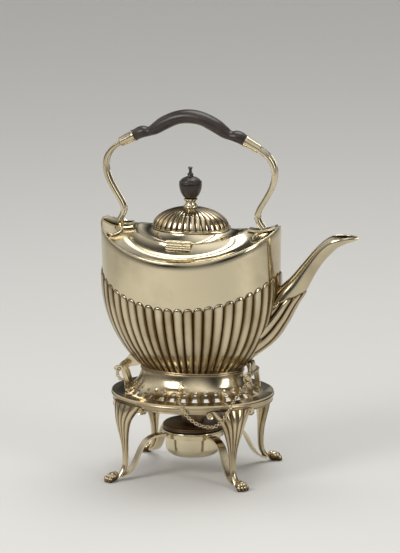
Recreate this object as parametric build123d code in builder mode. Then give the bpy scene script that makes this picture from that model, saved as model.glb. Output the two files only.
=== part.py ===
from build123d import *

import math
import os

# A half-fluted oval spirit kettle with an overhead handle, hinged to a pierced four-legged stand
# that carries a round burner. All sizes are in millimetres, heights are above the table, and
# lengths run along X, towards the spout.

# Kettle body
kettle_half_length = 83.0
kettle_half_width = 61.0
rim_half_length = 84.0
rim_half_width = 62.0
base_half_length = 48.2
base_half_width = 33.5
base_height = 100.7
shoulder_height = 184.0
belly_power = 2.35
body_wall = 1.3
rim_end_height = 235.2
rim_dip = 25.3
saddle_power = 1.5
flute_end_height = 193.0
flute_dip = 26.0
body_flutes = 48
body_flute_depth = 1.4
foot_height = 97.0
foot_overhang = 0.6
foot_width = 2.4

# Lid and its opening in the shoulder
lid_half_length = 51.0
lid_half_width = 35.0
lid_edge_height = 230.8
lid_dip = 9.3
lid_thickness = 1.2
lid_gap = 0.4
lid_drop = 0.25
lid_flange_width = 2.5
lid_sag = 0.1
ledge_width = 3.0
ledge_thickness = 1.0
landing_width = 1.6
shoulder_skirt = 2.6
shoulder_wall = 1.4
shoulder_sag = 0.12
solder_gap = 0.05
shoulder_gap = 0.15
dome_base_height = 230.2
dome_half_length = 35.0
dome_half_width = 25.3
dome_height = 19.0
dome_flutes = 32
dome_flute_depth = 0.9
dome_wall = 1.2
dome_rim_width = 2.4
bezel_depth = 3.6
bezel_wall = 1.0
bezel_overlap = 0.6

# Lid hinge
hinge_length = 23.5
hinge_radius = 2.0
hinge_pin_radius = 0.9
hinge_pin_head = 0.5
running_gap = 0.05
hinge_offset = 3.2
hinge_rise = 2.4
knuckle_count = 5
knuckle_gap = 0.3
leaf_front = 5.8
leaf_height = 1.3
leaf_depth = 8.0
lid_leaf_start = 2.3
lid_leaf_reach = 7.2
lid_leaf_lift = 0.8
lid_leaf_inset = 1.3
leaf_thickness = 1.1

# Finial
finial_stud_radius = 1.5
finial_nut_radius = 3.6
finial_nut_height = 2.6
stud_depth = 5.2
stud_height = 20.0
urn_lift = 8.2
tip_height = 0.8
finial_foot_curve = [(6.8, 1.8), (5.4, 2.9), (4.6, 5.0), (6.2, 7.2)]
urn_curve = [(4.8, 0.0), (7.2, 3.0), (9.4, 7.0), (10.4, 12.0), (10.2, 15.0), (9.0, 17.4)]
urn_neck_curve = [(7.8, 17.9), (5.4, 19.3), (2.6, 21.0), (1.5, 25.0), (1.8, 27.6), (2.4, 28.8)]

# Spout, as stations along its middle line: x, height, tilt in degrees, depth and width
spout_reach = 159.8
spout_wall = 1.0
mouth_height = 229.4
spout_stations = [
    (40.0, 121.0, 42, 36.0, 34.0),
    (66.0, 139.0, 42, 33.0, 31.0),
    (80.8, 154.8, 48, 27.0, 25.0),
    (92.0, 171.0, 48, 22.5, 20.0),
    (102.3, 183.5, 49, 18.6, 16.5),
    (112.3, 198.3, 49, 15.0, 14.0),
    (121.2, 210.0, 46, 13.6, 13.4),
    (129.5, 218.6, 37, 13.4, 15.0),
    (137.3, 224.2, 20, 12.0, 17.4),
    (146.5, 227.0, 6, 9.0, 16.0),
    (154.0, 228.0, 2, 5.5, 10.0),
    (spout_reach, 228.3, 0, 1.2, 2.4),
]
strainer_height = 146.8
strainer_hole_radius = 1.6
strainer_pitch = 5.0

# Overhead handle, with the grip as stations from its middle out: x, height, depth and width
bracket_thickness = 3.4
bracket_width = 9.0
bracket_path = [
    (66.0, 305.9), (74.0, 299.7), (79.0, 291.6), (80.1, 281.9), (77.4, 271.4),
    (71.9, 261.0), (66.1, 251.3), (63.6, 244.4), (65.1, 238.3), (69.2, 232.4),
]
bracket_foot_thickness = 2.0
bracket_foot_curve = [(81.3, 234.38), (69.3, 230.02), (55.3, 230.24)]
grip_stations = [
    (0.0, 333.1, 12.8, 15.0),
    (12.0, 331.4, 12.4, 15.0),
    (24.0, 325.9, 12.6, 14.0),
    (32.5, 320.4, 11.0, 12.5),
    (38.5, 317.4, 8.6, 10.5),
    (43.5, 316.9, 10.6, 12.5),
]
grip_end_radius = 5.0
grip_end_tilt = 28.0
ferrule_length = 15.2
ferrule_small_radius = 4.3
ferrule_lip = 0.5
ferrule_lip_length = 1.6
tang_radius = 3.0
tang_depth = 8.0
grip_gap = 0.15
rivet_radius = 0.8

# Stand top, with its slope as shares of the way in from the edge and heights above the plate
plate_half_length = 75.0
plate_half_width = 62.5
plate_height = 77.3
plate_wall = 1.5
collar_height = foot_height
collar_wall = 1.6
slope_start = 0.36
slope_middle = 0.63
slope_middle_rise = 3.4
slope_end = 0.85
slope_end_rise = 8.8
neck_share = 0.94
neck_rise = 4.4
motif_count = 34
motif_start = 11.4
motif_steps = [(0.0, 3.5), (1.9, 3.5), (2.4, 2.2), (6.9, 1.7)]
motif_dot_radius = 1.6
motif_dot_inset = 21.1
moulding_height = 3.6
moulding_overhang = 0.8
moulding_width = 2.6
apron_height = 3.4
apron_wall = 1.2
apron_inset = 0.6

# Legs, as stations down each one: height, reach from the axis, depth and width
foot_spread_x = 61.5
foot_spread_y = 55.1
leg_stations = [
    (72.1, 66.0, 11.2, 41.0),
    (66.0, 68.5, 10.0, 33.0),
    (57.0, 70.6, 8.0, 22.6),
    (47.0, 70.4, 6.4, 15.6),
    (35.0, 69.2, 5.4, 9.2),
    (22.0, 68.6, 5.0, 6.6),
    (12.0, 69.8, 5.0, 6.0),
    (4.0, 75.0, 5.6, 6.4),
]
volute_radius = 3.8
volute_drop = 4.0
volute_spread = 16.8
volute_depth = 5.4
volute_proud = 0.8
paw_stations = [(0.0, 6.2, 4.6), (2.4, 6.9, 5.2), (5.0, 6.6, 4.8), (7.4, 5.0, 3.6), (9.0, 2.6, 2.0)]
toe_radius = 2.6
toe_rise = 2.2
toe_reach = 4.2
toe_offsets = (-4.6, -1.6, 1.6, 4.6)
brace_path = [(73.2, 4.4), (62.6, 10.6), (55.0, 24.0), (47.5, 34.5), (38.0, 38.2), (27.0, 37.5)]
brace_width = 8.0
brace_thickness = 1.8

# Burner and the ring that holds it
ring_bore = 25.8
ring_radius = 28.4
ring_height = 4.0
ring_level = 35.5
bowl_radius = 25.3
bowl_bottom = 17.0
bowl_round = 8.0
bowl_wall = 1.0
lip_radius = 28.2
lip_height = 1.6
cover_height = 1.2
burner_collar_radius = 27.4
burner_collar_wall = 1.2
burner_collar_height = 3.6
burner_bead_radius = 0.7
burner_bead_shares = (0.25, 0.75)
burner_cover_hole = 14.5
wick_plate_radius = 27.0
wick_plate_height = 1.4
wick_tube_radius = 10.5
wick_tube_wall = 1.0
wick_tube_height = 9.0
wick_proud = 1.2
wick_gap = 0.2

# Pins and lugs that join the kettle to the stand, with the lugs' and ears' outlines in x and height
pivot_offset = 57.0
pivot_height = 97.2
lock_offset = -66.0
lock_height = 97.0
pin_radius = 1.5
lug_radius = 2.9
tongue_width = 5.0
barrel_width = 22.0
barrel_profile = [(59.9, 97.2), (61.5, 107.5), (57.0, 108.5), (52.0, 104.0), (50.4, 98.6), (55.0, 95.2)]
tongue_profile = [(-66.0, 99.9), (-60.0, 107.0), (-51.0, 104.0), (-50.6, 97.6), (-66.0, 94.1)]
pivot_ear_profile = [(54.8, 97.2), (59.2, 97.2), (61.6, 76.0), (57.0, 76.0)]
lock_ear_profile = [(-68.2, 97.0), (-63.8, 97.0), (-57.4, 76.0), (-62.0, 76.0)]
ear_thickness = 2.6
ear_gap = 0.4
lock_travel = 9.0
lock_tip_gap = 0.6
lock_head_height = 5.2
lock_head_depth = 1.8
lock_head_width = 9.0
lock_head_hole_radius = 0.9
pin_ring_radius = 3.2
pin_wire_radius = 0.8

# Chains that keep the pins with the stand
link_radius = 1.4
link_wire_radius = 0.35
link_pitch = 1.95
anchor_radius = 0.7
anchor_length = 5.0
lock_chain_path = [
    (-66.0, -17.9, 96.2), (-66.4, -18.6, 92.0), (-64.5, -17.2, 87.6), (-60.6, -13.6, 85.4),
]
pivot_chain_path = [
    (0.0, -40.6, 92.0), (1.0, -45.0, 86.2), (3.5, -54.0, 80.8), (6.5, -62.6, 80.4), (9.5, -65.4, 76.4),
    (14.0, -65.2, 69.0), (24.0, -64.0, 61.5), (36.0, -61.0, 59.0), (44.0, -59.4, 63.0),
    (50.0, -56.4, 72.0), (52.6, -50.0, 79.6), (53.2, -41.0, 81.6), (54.6, -31.0, 85.0),
    (56.4, -20.5, 90.6),
]

# The frame's origin is under the middle of the whole length, so the kettle's own axis stands
# behind it by half of what the spout adds.
axis_x = (rim_half_length - spout_reach) / 2
foot_reach = math.hypot(foot_spread_x, foot_spread_y)
foot_angle = math.degrees(math.atan2(foot_spread_y, foot_spread_x))
knee_angle = math.degrees(
    math.atan2(foot_spread_y / plate_half_width, foot_spread_x / plate_half_length)
)
front_half = [180 + 15 * step for step in range(13)]
plate_oval = (plate_half_length, plate_half_width)
collar_oval = (base_half_length, base_half_width)


def level(height, x=0.0, y=0.0):
    """A horizontal plane at a height, centred on the kettle's axis or off it by x and y."""
    return Plane((axis_x + x, y, height))


def side_plane(y=0.0):
    """The upright plane along the kettle's length, seen from the front: its x is X, its y is Z."""
    return Plane((axis_x, y, 0), x_dir=(1, 0, 0), z_dir=(0, -1, 0))


def section_plane(x, height, tilt=0.0):
    """A plane across the kettle's length at x and height, tipped upwards by tilt: its x is Y."""
    turn = math.radians(tilt)
    along = (math.cos(turn), 0, math.sin(turn))
    return Plane((axis_x + x, 0, height), x_dir=(0, 1, 0), z_dir=along)


def corner_plane(angle):
    """The upright plane through the axis at an angle: its x runs outwards, its y is Z."""
    turn = math.radians(angle)
    outward = (math.cos(turn), math.sin(turn), 0)
    return Plane((axis_x, 0, 0), x_dir=outward, z_dir=(math.sin(turn), -math.cos(turn), 0))


def body_oval(height, inset=0.0):
    """Half length and half width of the smooth body at a height, less an inset."""
    if height >= shoulder_height:
        share = (height - shoulder_height) / (rim_end_height - shoulder_height)
        length = kettle_half_length + (rim_half_length - kettle_half_length) * share
        width = kettle_half_width + (rim_half_width - kettle_half_width) * share
    else:
        share = max(height - base_height, 0) / (shoulder_height - base_height)
        swell = 1 - (1 - share) ** belly_power
        length = base_half_length + (kettle_half_length - base_half_length) * swell
        width = base_half_width + (kettle_half_width - base_half_width) * swell
    return length - inset, width - inset


def saddle(angle, end_height, dip):
    """Height of a boat-shaped edge that dips by dip at the front and the back."""
    return end_height - dip * abs(math.sin(math.radians(angle))) ** saddle_power


def oval_point(oval, angle):
    """A point on an oval at a parameter angle in degrees."""
    turn = math.radians(angle)
    return Vector(oval[0] * math.cos(turn), oval[1] * math.sin(turn))


def even_angles(oval, count):
    """Parameter angles that part an oval into stretches of equal length."""
    steps = 1440
    angles = [360 * step / steps for step in range(steps + 1)]
    lengths = [0.0]
    for first, second in zip(angles, angles[1:]):
        stretch = oval_point(oval, second) - oval_point(oval, first)
        lengths.append(lengths[-1] + stretch.length)
    found = []
    step = 0
    for index in range(count):
        while lengths[step + 1] < lengths[-1] * index / count:
            step += 1
        found.append(angles[step])
    return found + [360.0]


def lobed_outline(oval, count, depth):
    """Draws a closed ring of rounded lobes that stand out of an oval by depth."""
    angles = even_angles(oval, count)
    for first, second in zip(angles, angles[1:]):
        crest = oval_point((oval[0] + depth, oval[1] + depth), (first + second) / 2)
        ThreePointArc(oval_point(oval, first), crest, oval_point(oval, second))


def saddle_line(end_height, dip, half_length, margin):
    """Draws a boat-shaped edge seen from the front, with a level run past each end."""
    points = []
    for angle in range(180, -1, -15):
        points.append((half_length * math.cos(math.radians(angle)), saddle(angle, end_height, dip)))
    Polyline((-half_length - margin, end_height), points[0])
    Spline(points)
    Polyline(points[-1], (half_length + margin, end_height))


def saddle_band(end_height, dip, half_length, flat_height, margin=20.0):
    """Draws the closed outline between a boat-shaped edge and a level height, seen from the front."""
    reach = half_length + margin
    saddle_line(end_height, dip, half_length, margin)
    Polyline(
        (reach, end_height), (reach, flat_height), (-reach, flat_height), (-reach, end_height)
    )


def ring_plane(outer, inner, angle):
    """The upright plane from an outer oval in to an inner one, and how far apart they are."""
    start = oval_point(outer, angle)
    inward = oval_point(inner, angle) - start
    along = inward.normalized()
    plane = Plane((axis_x + start.X, start.Y, 0), x_dir=along, z_dir=(along.Y, -along.X, 0))
    return plane, inward.length


def inward_plane(oval, angle, height, x_out=0.0, y_out=0.0):
    """A level plane on an oval's edge, or moved off it by x and y: its x runs squarely inwards."""
    edge = oval_point(oval, angle)
    inward = Vector(-edge.X / oval[0] ** 2, -edge.Y / oval[1] ** 2).normalized()
    return Plane((axis_x + edge.X + x_out, edge.Y + y_out, height), x_dir=inward)


def radial_point(angle, reach):
    """The point on the ground that is out along an angle from the kettle's axis."""
    turn = math.radians(angle)
    return Vector(axis_x + reach * math.cos(turn), reach * math.sin(turn))


def largest(part, count=1):
    """The biggest solids of a part, without the slivers that a cut has left."""
    return part.solids().sort_by(SortBy.VOLUME)[-count:]


def link_places(path, pitch):
    """Places for chain links along a smooth curve, each turned a quarter against the last."""
    curve = Edge.make_spline([Vector(axis_x + x, y, z) for x, y, z in path])
    count = round(curve.length / pitch)
    places = []
    for index in range(count + 1):
        along = curve.tangent_at(index / count)
        side = along.cross(Vector(0, 0, 1)).normalized()
        normal = side if index % 2 else along.cross(side)
        places.append(Plane(curve.position_at(index / count), x_dir=along, z_dir=normal).location)
    return places


def shoulder_outline(reach, outer_height, inner_height):
    """Draws the shoulder's wall from the rim, through its trough, to the ledge under the lid."""
    middle = 0.45 * reach
    trough = outer_height + 0.35 * (inner_height - outer_height) - shoulder_sag * reach
    landing = reach - landing_width
    ledge_top = inner_height - lid_thickness - lid_drop
    ledge_low = ledge_top - ledge_thickness
    ThreePointArc((0, outer_height), (middle, trough), (landing, inner_height))
    Polyline(
        (landing, inner_height),
        (reach, inner_height),
        (reach, ledge_top),
        (reach + ledge_width, ledge_top),
        (reach + ledge_width, ledge_low),
        (landing, ledge_low),
    )
    skirt = (0, outer_height - shoulder_skirt)
    ThreePointArc((landing, ledge_low), (middle, trough - shoulder_wall), skirt)
    Line(skirt, (0, outer_height))


def lid_outline(reach, edge_height):
    """Draws the lid's wall from its level flange, through its dish, to the seat of the dome."""
    middle = (reach + lid_flange_width) / 2
    dish = (edge_height + dome_base_height) / 2 - lid_sag * reach
    under = edge_height - lid_thickness
    seat_under = dome_base_height - lid_thickness
    Polyline((0, under), (0, edge_height), (lid_flange_width, edge_height))
    ThreePointArc((lid_flange_width, edge_height), (middle, dish), (reach, dome_base_height))
    Polyline(
        (reach, dome_base_height),
        (reach + dome_rim_width, dome_base_height),
        (reach + dome_rim_width, seat_under),
        (reach, seat_under),
    )
    ThreePointArc((reach, seat_under), (middle, dish - lid_thickness), (lid_flange_width, under))
    Line((lid_flange_width, under), (0, under))


def stand_outline(reach):
    """Draws the stand's wall from the plate's edge, over the pierced slope, up to the collar."""
    start = slope_start * reach
    end = slope_end * reach
    foot = plate_height + slope_end_rise
    under = plate_height - plate_wall
    middle = (slope_middle * reach, plate_height + slope_middle_rise)
    neck = (neck_share * reach, foot + neck_rise)
    Polyline((0, under), (0, plate_height), (start, plate_height))
    ThreePointArc((start, plate_height), middle, (end, foot))
    ThreePointArc((end, foot), neck, (reach, collar_height))
    inner = (reach + collar_wall, collar_height - collar_wall)
    bend = (end + collar_wall / 2, foot - collar_wall)
    Polyline((reach, collar_height), (reach + collar_wall, collar_height), inner)
    ThreePointArc(inner, (neck[0] + collar_wall, neck[1] - collar_wall), bend)
    ThreePointArc(bend, (middle[0] + plate_wall / 3, middle[1] - plate_wall), (start, under))
    Line((start, under), (0, under))


os.makedirs("parts", exist_ok=True)

# The body is a fluted bowl on a low foot, under a plain boat-shaped wall, open at the top.
belly = shoulder_height - base_height
belly_levels = [base_height + belly * share for share in (0, 0.07, 0.18, 0.36, 0.62, 1)]
belly_levels.append(flute_end_height + 6)
wall_levels = belly_levels[4:] + [rim_end_height - 12, rim_end_height + 10]
cavity_levels = [base_height + body_wall] + belly_levels[1:] + wall_levels[-2:]

with BuildPart() as body_envelope:
    for height in [base_height - 0.5] + belly_levels[1:] + wall_levels[-2:]:
        with BuildSketch(level(height)):
            Ellipse(*body_oval(height, -body_flute_depth - solder_gap))
    loft()

with BuildPart() as plain_wall:
    for height in wall_levels:
        with BuildSketch(level(height)):
            Ellipse(*body_oval(height))
    loft()
    with BuildSketch(side_plane()):
        with BuildLine():
            saddle_band(flute_end_height, flute_dip, kettle_half_length, rim_end_height + 40)
        make_face()
    extrude(amount=rim_half_width + 10, both=True, mode=Mode.INTERSECT)
    with BuildSketch(side_plane()):
        with BuildLine():
            saddle_band(rim_end_height, rim_dip, rim_half_length, base_height)
        make_face()
    extrude(amount=rim_half_width + 10, both=True, mode=Mode.INTERSECT)

with BuildPart() as kettle_body:
    for height in belly_levels:
        with BuildSketch(level(height)):
            with BuildLine():
                lobed_outline(body_oval(height), body_flutes, body_flute_depth)
            make_face()
    loft()
    with BuildSketch(side_plane()):
        with BuildLine():
            saddle_band(flute_end_height, flute_dip, kettle_half_length, base_height)
        make_face()
    extrude(amount=rim_half_width + 10, both=True, mode=Mode.INTERSECT)
    add(plain_wall.part)
    for height in cavity_levels:
        with BuildSketch(level(height)):
            Ellipse(*body_oval(height, body_wall))
    loft(mode=Mode.SUBTRACT)
    with BuildSketch(section_plane(base_half_length, strainer_height)):
        with HexLocations(strainer_pitch / 2, 3, 3):
            Circle(strainer_hole_radius)
    extrude(amount=spout_reach - base_half_length, mode=Mode.SUBTRACT)
    with BuildSketch(level(foot_height)):
        Ellipse(base_half_length + foot_overhang, base_half_width + foot_overhang)
        Ellipse(
            base_half_length + foot_overhang - foot_width,
            base_half_width + foot_overhang - foot_width,
            mode=Mode.SUBTRACT,
        )
    extrude(amount=base_height - foot_height)
kettle_body.part.label = "kettle_body"
export_step(kettle_body.part, "parts/kettle_body.step")

# The shoulder is a hollow trough between the rim and the lid's opening, with a ledge for the lid.
opening = (lid_half_length + lid_gap, lid_half_width + lid_gap)
with BuildPart() as shoulder:
    for angle in front_half:
        rim = saddle(angle, rim_end_height, rim_dip)
        plane, reach = ring_plane(body_oval(rim - shoulder_skirt, body_wall), opening, angle)
        with BuildSketch(plane):
            with BuildLine():
                shoulder_outline(reach, rim, saddle(angle, lid_edge_height, lid_dip))
            make_face()
    loft()
    mirror(about=Plane.XZ)
    for height in cavity_levels:
        with BuildSketch(level(height)):
            Ellipse(*body_oval(height, body_wall + shoulder_gap))
    loft(mode=Mode.INTERSECT)
shoulder.part.label = "shoulder"
export_step(shoulder.part, "parts/shoulder.step")

# The lid is a dished oval plate with a fluted dome on it and a bezel under it.
lid_oval = (lid_half_length, lid_half_width)
dome_oval = (dome_half_length, dome_half_width)
with BuildPart() as lid_plate:
    for angle in front_half:
        plane, reach = ring_plane(lid_oval, dome_oval, angle)
        with BuildSketch(plane):
            with BuildLine():
                lid_outline(reach, saddle(angle, lid_edge_height, lid_dip))
            make_face()
    loft()
    mirror(about=Plane.XZ)
lid_plate.part.label = "lid_plate"
export_step(lid_plate.part, "parts/lid_plate.step")

with BuildPart() as lid_bezel:
    for angle in front_half:
        plane, reach = ring_plane(lid_oval, dome_oval, angle)
        top = saddle(angle, lid_edge_height, lid_dip) - lid_thickness
        start = ledge_width + 2 * lid_gap
        with BuildSketch(plane):
            Polygon(
                (start, top - bezel_overlap),
                (start, top - bezel_depth),
                (start + bezel_wall, top - bezel_depth),
                (start + bezel_wall, top - bezel_overlap),
                align=None,
            )
    loft()
    mirror(about=Plane.XZ)
    add(lid_plate.part, mode=Mode.SUBTRACT)
lid_bezel.part.label = "lid_bezel"
export_step(lid_bezel.part, "parts/lid_bezel.step")

dome_shares = (0, 0.25, 0.5, 0.72, 0.88, 0.97)
dome_top = dome_base_height + dome_shares[-1] * dome_height
with BuildPart() as lid_dome:
    for share in dome_shares:
        scale_in = math.sqrt(1 - share**2)
        oval = (dome_half_length * scale_in, dome_half_width * scale_in)
        with BuildSketch(level(dome_base_height + share * dome_height)):
            with BuildLine():
                lobed_outline(oval, dome_flutes, dome_flute_depth * scale_in)
            make_face()
    loft()
    for share in dome_shares:
        scale_in = math.sqrt(1 - share**2)
        with BuildSketch(level(dome_base_height + share * (dome_height - dome_wall))):
            Ellipse(dome_half_length * scale_in - dome_wall, dome_half_width * scale_in - dome_wall)
    loft(mode=Mode.SUBTRACT)
    with Locations((axis_x, 0, dome_top)):
        Cylinder(finial_stud_radius + solder_gap, 4 * dome_wall, mode=Mode.SUBTRACT)
lid_dome.part.label = "lid_dome"
export_step(lid_dome.part, "parts/lid_dome.step")

# A finial stands on the dome: a stud and foot, a turned urn on the stud, and a nut inside.
foot_curve = [(radius, dome_top + lift) for radius, lift in finial_foot_curve]
urn_foot = dome_top + urn_lift + solder_gap
urn_side = [(radius, urn_foot + lift) for radius, lift in urn_curve]
urn_neck = [(radius, urn_foot + lift) for radius, lift in urn_neck_curve]
stud_top = dome_top + stud_height
stud_hole_radius = finial_stud_radius + solder_gap
with BuildPart() as finial_base:
    with BuildSketch(side_plane()):
        with BuildLine():
            Polyline(
                (0, dome_top - stud_depth),
                (finial_stud_radius, dome_top - stud_depth),
                (finial_stud_radius, dome_top),
                (foot_curve[0][0], dome_top),
                foot_curve[0],
            )
            Spline(foot_curve)
            Polyline(
                foot_curve[-1],
                (foot_curve[-1][0], dome_top + urn_lift),
                (finial_stud_radius, dome_top + urn_lift),
                (finial_stud_radius, stud_top),
                (0, stud_top),
                (0, dome_top - stud_depth),
            )
        make_face()
    revolve(axis=Axis((axis_x, 0, 0), (0, 0, 1)))
finial_base.part.label = "finial_base"
export_step(finial_base.part, "parts/finial_base.step")

with BuildPart() as finial:
    with BuildSketch(side_plane()):
        with BuildLine():
            Line((stud_hole_radius, urn_foot), urn_side[0])
            Spline(urn_side)
            Line(urn_side[-1], urn_neck[0])
            Spline(urn_neck)
            Polyline(
                urn_neck[-1],
                (urn_neck[-1][0] / 2, urn_neck[-1][1] + tip_height),
                (0, urn_neck[-1][1] + tip_height),
                (0, stud_top + solder_gap),
                (stud_hole_radius, stud_top + solder_gap),
                (stud_hole_radius, urn_foot),
            )
        make_face()
    revolve(axis=Axis((axis_x, 0, 0), (0, 0, 1)))
finial.part.label = "finial"
export_step(finial.part, "parts/finial.step")

with BuildPart() as finial_nut:
    with BuildSketch(level(dome_top - dome_wall - finial_nut_height)):
        RegularPolygon(finial_nut_radius, 6)
        Circle(finial_stud_radius + solder_gap, mode=Mode.SUBTRACT)
    extrude(amount=finial_nut_height - solder_gap)
finial_nut.part.label = "finial_nut"
export_step(finial_nut.part, "parts/finial_nut.step")

# The lid's hinge stands on the front of the shoulder; every other knuckle belongs to the lid.
hinge_y = -lid_half_width - hinge_offset
lid_front_height = lid_edge_height - lid_dip
hinge_z = lid_front_height + hinge_rise
knuckle_length = (hinge_length - (knuckle_count - 1) * knuckle_gap) / knuckle_count
knuckle_pitch = knuckle_length + knuckle_gap
knuckle_places = []
for index in range(knuckle_count):
    middle = (index - (knuckle_count - 1) / 2) * knuckle_pitch
    knuckle_places.append(Location((axis_x + middle, hinge_y, hinge_z), (0, 90, 0)))
bore_radius = hinge_pin_radius + running_gap

with BuildPart() as fixed_leaf_block:
    leaf_top = lid_front_height + leaf_height
    with Locations((axis_x, -lid_half_width - leaf_front, leaf_top)):
        Box(
            hinge_length,
            leaf_front - hinge_offset,
            leaf_depth,
            align=(Align.CENTER, Align.MIN, Align.MAX),
        )
    with Locations(*knuckle_places[1::2]):
        Cylinder(hinge_radius + knuckle_gap, knuckle_length + 2 * knuckle_gap, mode=Mode.SUBTRACT)
    with Locations(*knuckle_places[0::2]):
        Cylinder(hinge_radius, knuckle_length)
    with Locations(*knuckle_places):
        Cylinder(bore_radius, knuckle_pitch, mode=Mode.SUBTRACT)
    add(shoulder.part, mode=Mode.SUBTRACT)
with BuildPart() as hinge_fixed:
    add(largest(fixed_leaf_block.part))
hinge_fixed.part.label = "hinge_fixed"
export_step(hinge_fixed.part, "parts/hinge_fixed.step")

with BuildPart() as lid_leaf_block:
    with Locations((axis_x, hinge_y + lid_leaf_start, lid_front_height + lid_leaf_lift)):
        Box(
            hinge_length,
            lid_leaf_reach - lid_leaf_start,
            leaf_thickness,
            align=(Align.CENTER, Align.MIN, Align.MIN),
        )
    with Locations((axis_x, -lid_half_width + lid_leaf_inset, lid_front_height + solder_gap)):
        Box(
            hinge_length,
            hinge_y + lid_leaf_reach + lid_half_width - lid_leaf_inset,
            leaf_thickness,
            align=(Align.CENTER, Align.MIN, Align.MIN),
        )
    for place in knuckle_places[1::2]:
        with Locations((place.position.X, hinge_y, lid_front_height + lid_leaf_lift)):
            Box(
                knuckle_length,
                lid_leaf_start + hinge_radius,
                leaf_thickness,
                align=(Align.CENTER, Align.MIN, Align.MIN),
            )
    with Locations(*knuckle_places[1::2]):
        Cylinder(hinge_radius, knuckle_length)
    with Locations(*knuckle_places):
        Cylinder(bore_radius, knuckle_pitch, mode=Mode.SUBTRACT)
    add(lid_plate.part, mode=Mode.SUBTRACT)
with BuildPart() as hinge_moving:
    add(largest(lid_leaf_block.part))
hinge_moving.part.label = "hinge_moving"
export_step(hinge_moving.part, "parts/hinge_moving.step")

with BuildPart() as hinge_pin:
    with Locations(Location((axis_x, hinge_y, hinge_z), (0, 90, 0))):
        Cylinder(hinge_pin_radius, hinge_length + 2 * knuckle_gap)
    for end in (-1, 1):
        head = axis_x + end * (hinge_length / 2 + knuckle_gap)
        with Locations(Location((head, hinge_y, hinge_z), (0, 90, 0))):
            Cylinder(hinge_pin_radius + hinge_pin_head, knuckle_gap)
hinge_pin.part.label = "hinge_pin"
export_step(hinge_pin.part, "parts/hinge_pin.step")

# The spout is a bent, tapering tube that opens upwards behind its lip.
with BuildPart() as spout:
    for x, height, tilt, depth, width in spout_stations:
        with BuildSketch(section_plane(x, height, tilt)):
            Ellipse(width / 2, depth / 2)
    loft()
    for x, height, tilt, depth, width in spout_stations[:-1]:
        with BuildSketch(section_plane(x, height, tilt)):
            Ellipse(width / 2 - spout_wall, depth / 2 - spout_wall)
    loft(mode=Mode.SUBTRACT)
    with Locations((axis_x + spout_reach, 0, mouth_height)):
        Box(50, 40, 20, align=(Align.CENTER, Align.CENTER, Align.MIN), mode=Mode.SUBTRACT)
    add(body_envelope.part, mode=Mode.SUBTRACT)
spout.part.label = "spout"
export_step(spout.part, "parts/spout.step")

# The overhead handle: two sprung brackets whose tangs run through ferrules into a wooden grip.
tang_start = bracket_path[0]
rivet_x = tang_start[0] - ferrule_length / 2 * math.cos(math.radians(grip_end_tilt))
rivet_z = tang_start[1] + ferrule_length / 2 * math.sin(math.radians(grip_end_tilt))
foot_lift = bracket_foot_thickness / 2 + solder_gap
for name, side in (("left", -1), ("right", 1)):
    tang_plane = section_plane(side * tang_start[0], tang_start[1], -side * grip_end_tilt)
    if side > 0:
        tang_plane = Plane(tang_plane.origin, x_dir=(0, 1, 0), z_dir=-tang_plane.z_dir)
    rivet_place = Location((axis_x + side * rivet_x, 0, rivet_z), (90, 0, 0))

    with BuildPart() as bracket:
        with BuildSketch(side_plane()):
            with BuildLine():
                Spline([(side * x, z) for x, z in bracket_path])
            trace(line_width=bracket_thickness)
        extrude(amount=bracket_width / 2, both=True)
        with BuildSketch(side_plane()):
            with BuildLine():
                ThreePointArc(*[(side * x, z + foot_lift) for x, z in bracket_foot_curve])
            trace(line_width=bracket_foot_thickness)
        extrude(amount=bracket_width / 2, both=True)
        with BuildSketch(tang_plane):
            Circle(tang_radius)
        extrude(amount=ferrule_length + tang_depth)
        with Locations(rivet_place):
            Cylinder(rivet_radius + solder_gap, 4 * tang_radius, mode=Mode.SUBTRACT)
        add(shoulder.part, mode=Mode.SUBTRACT)
    bracket.part.label = f"bracket_{name}"
    export_step(bracket.part, f"parts/bracket_{name}.step")

    with BuildPart() as ferrule:
        with BuildSketch(tang_plane):
            Circle(ferrule_small_radius)
        with BuildSketch(tang_plane.offset(ferrule_length)):
            Circle(grip_end_radius)
        loft()
        with BuildSketch(tang_plane.offset(ferrule_length - ferrule_lip_length)):
            Circle(grip_end_radius + ferrule_lip)
        extrude(amount=ferrule_lip_length)
        with BuildSketch(tang_plane.offset(-tang_radius)):
            Circle(tang_radius + solder_gap)
        extrude(amount=ferrule_length + 2 * tang_radius, mode=Mode.SUBTRACT)
        with Locations(rivet_place):
            Cylinder(rivet_radius + solder_gap, 4 * grip_end_radius, mode=Mode.SUBTRACT)
        add(bracket.part, mode=Mode.SUBTRACT)
    ferrule.part.label = f"ferrule_{name}"
    export_step(ferrule.part, f"parts/ferrule_{name}.step")

grip_ends = []
for side in (-1, 1):
    end_x = side * (tang_start[0] - (ferrule_length + grip_gap) * math.cos(math.radians(grip_end_tilt)))
    end_z = tang_start[1] + (ferrule_length + grip_gap) * math.sin(math.radians(grip_end_tilt))
    grip_ends.append(section_plane(end_x, end_z, -side * grip_end_tilt))
with BuildPart() as grip:
    with BuildSketch(grip_ends[0]):
        Circle(grip_end_radius)
    for x, height, depth, width in grip_stations[:0:-1]:
        with BuildSketch(section_plane(-x, height)):
            Ellipse(width / 2, depth / 2)
    for x, height, depth, width in grip_stations:
        with BuildSketch(section_plane(x, height)):
            Ellipse(width / 2, depth / 2)
    with BuildSketch(grip_ends[1]):
        Circle(grip_end_radius)
    loft()
    for end in grip_ends:
        with BuildSketch(end):
            Circle(tang_radius + solder_gap)
        extrude(amount=tang_depth + solder_gap, both=True, mode=Mode.SUBTRACT)
grip.part.label = "grip"
export_step(grip.part, "parts/grip.step")

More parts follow.
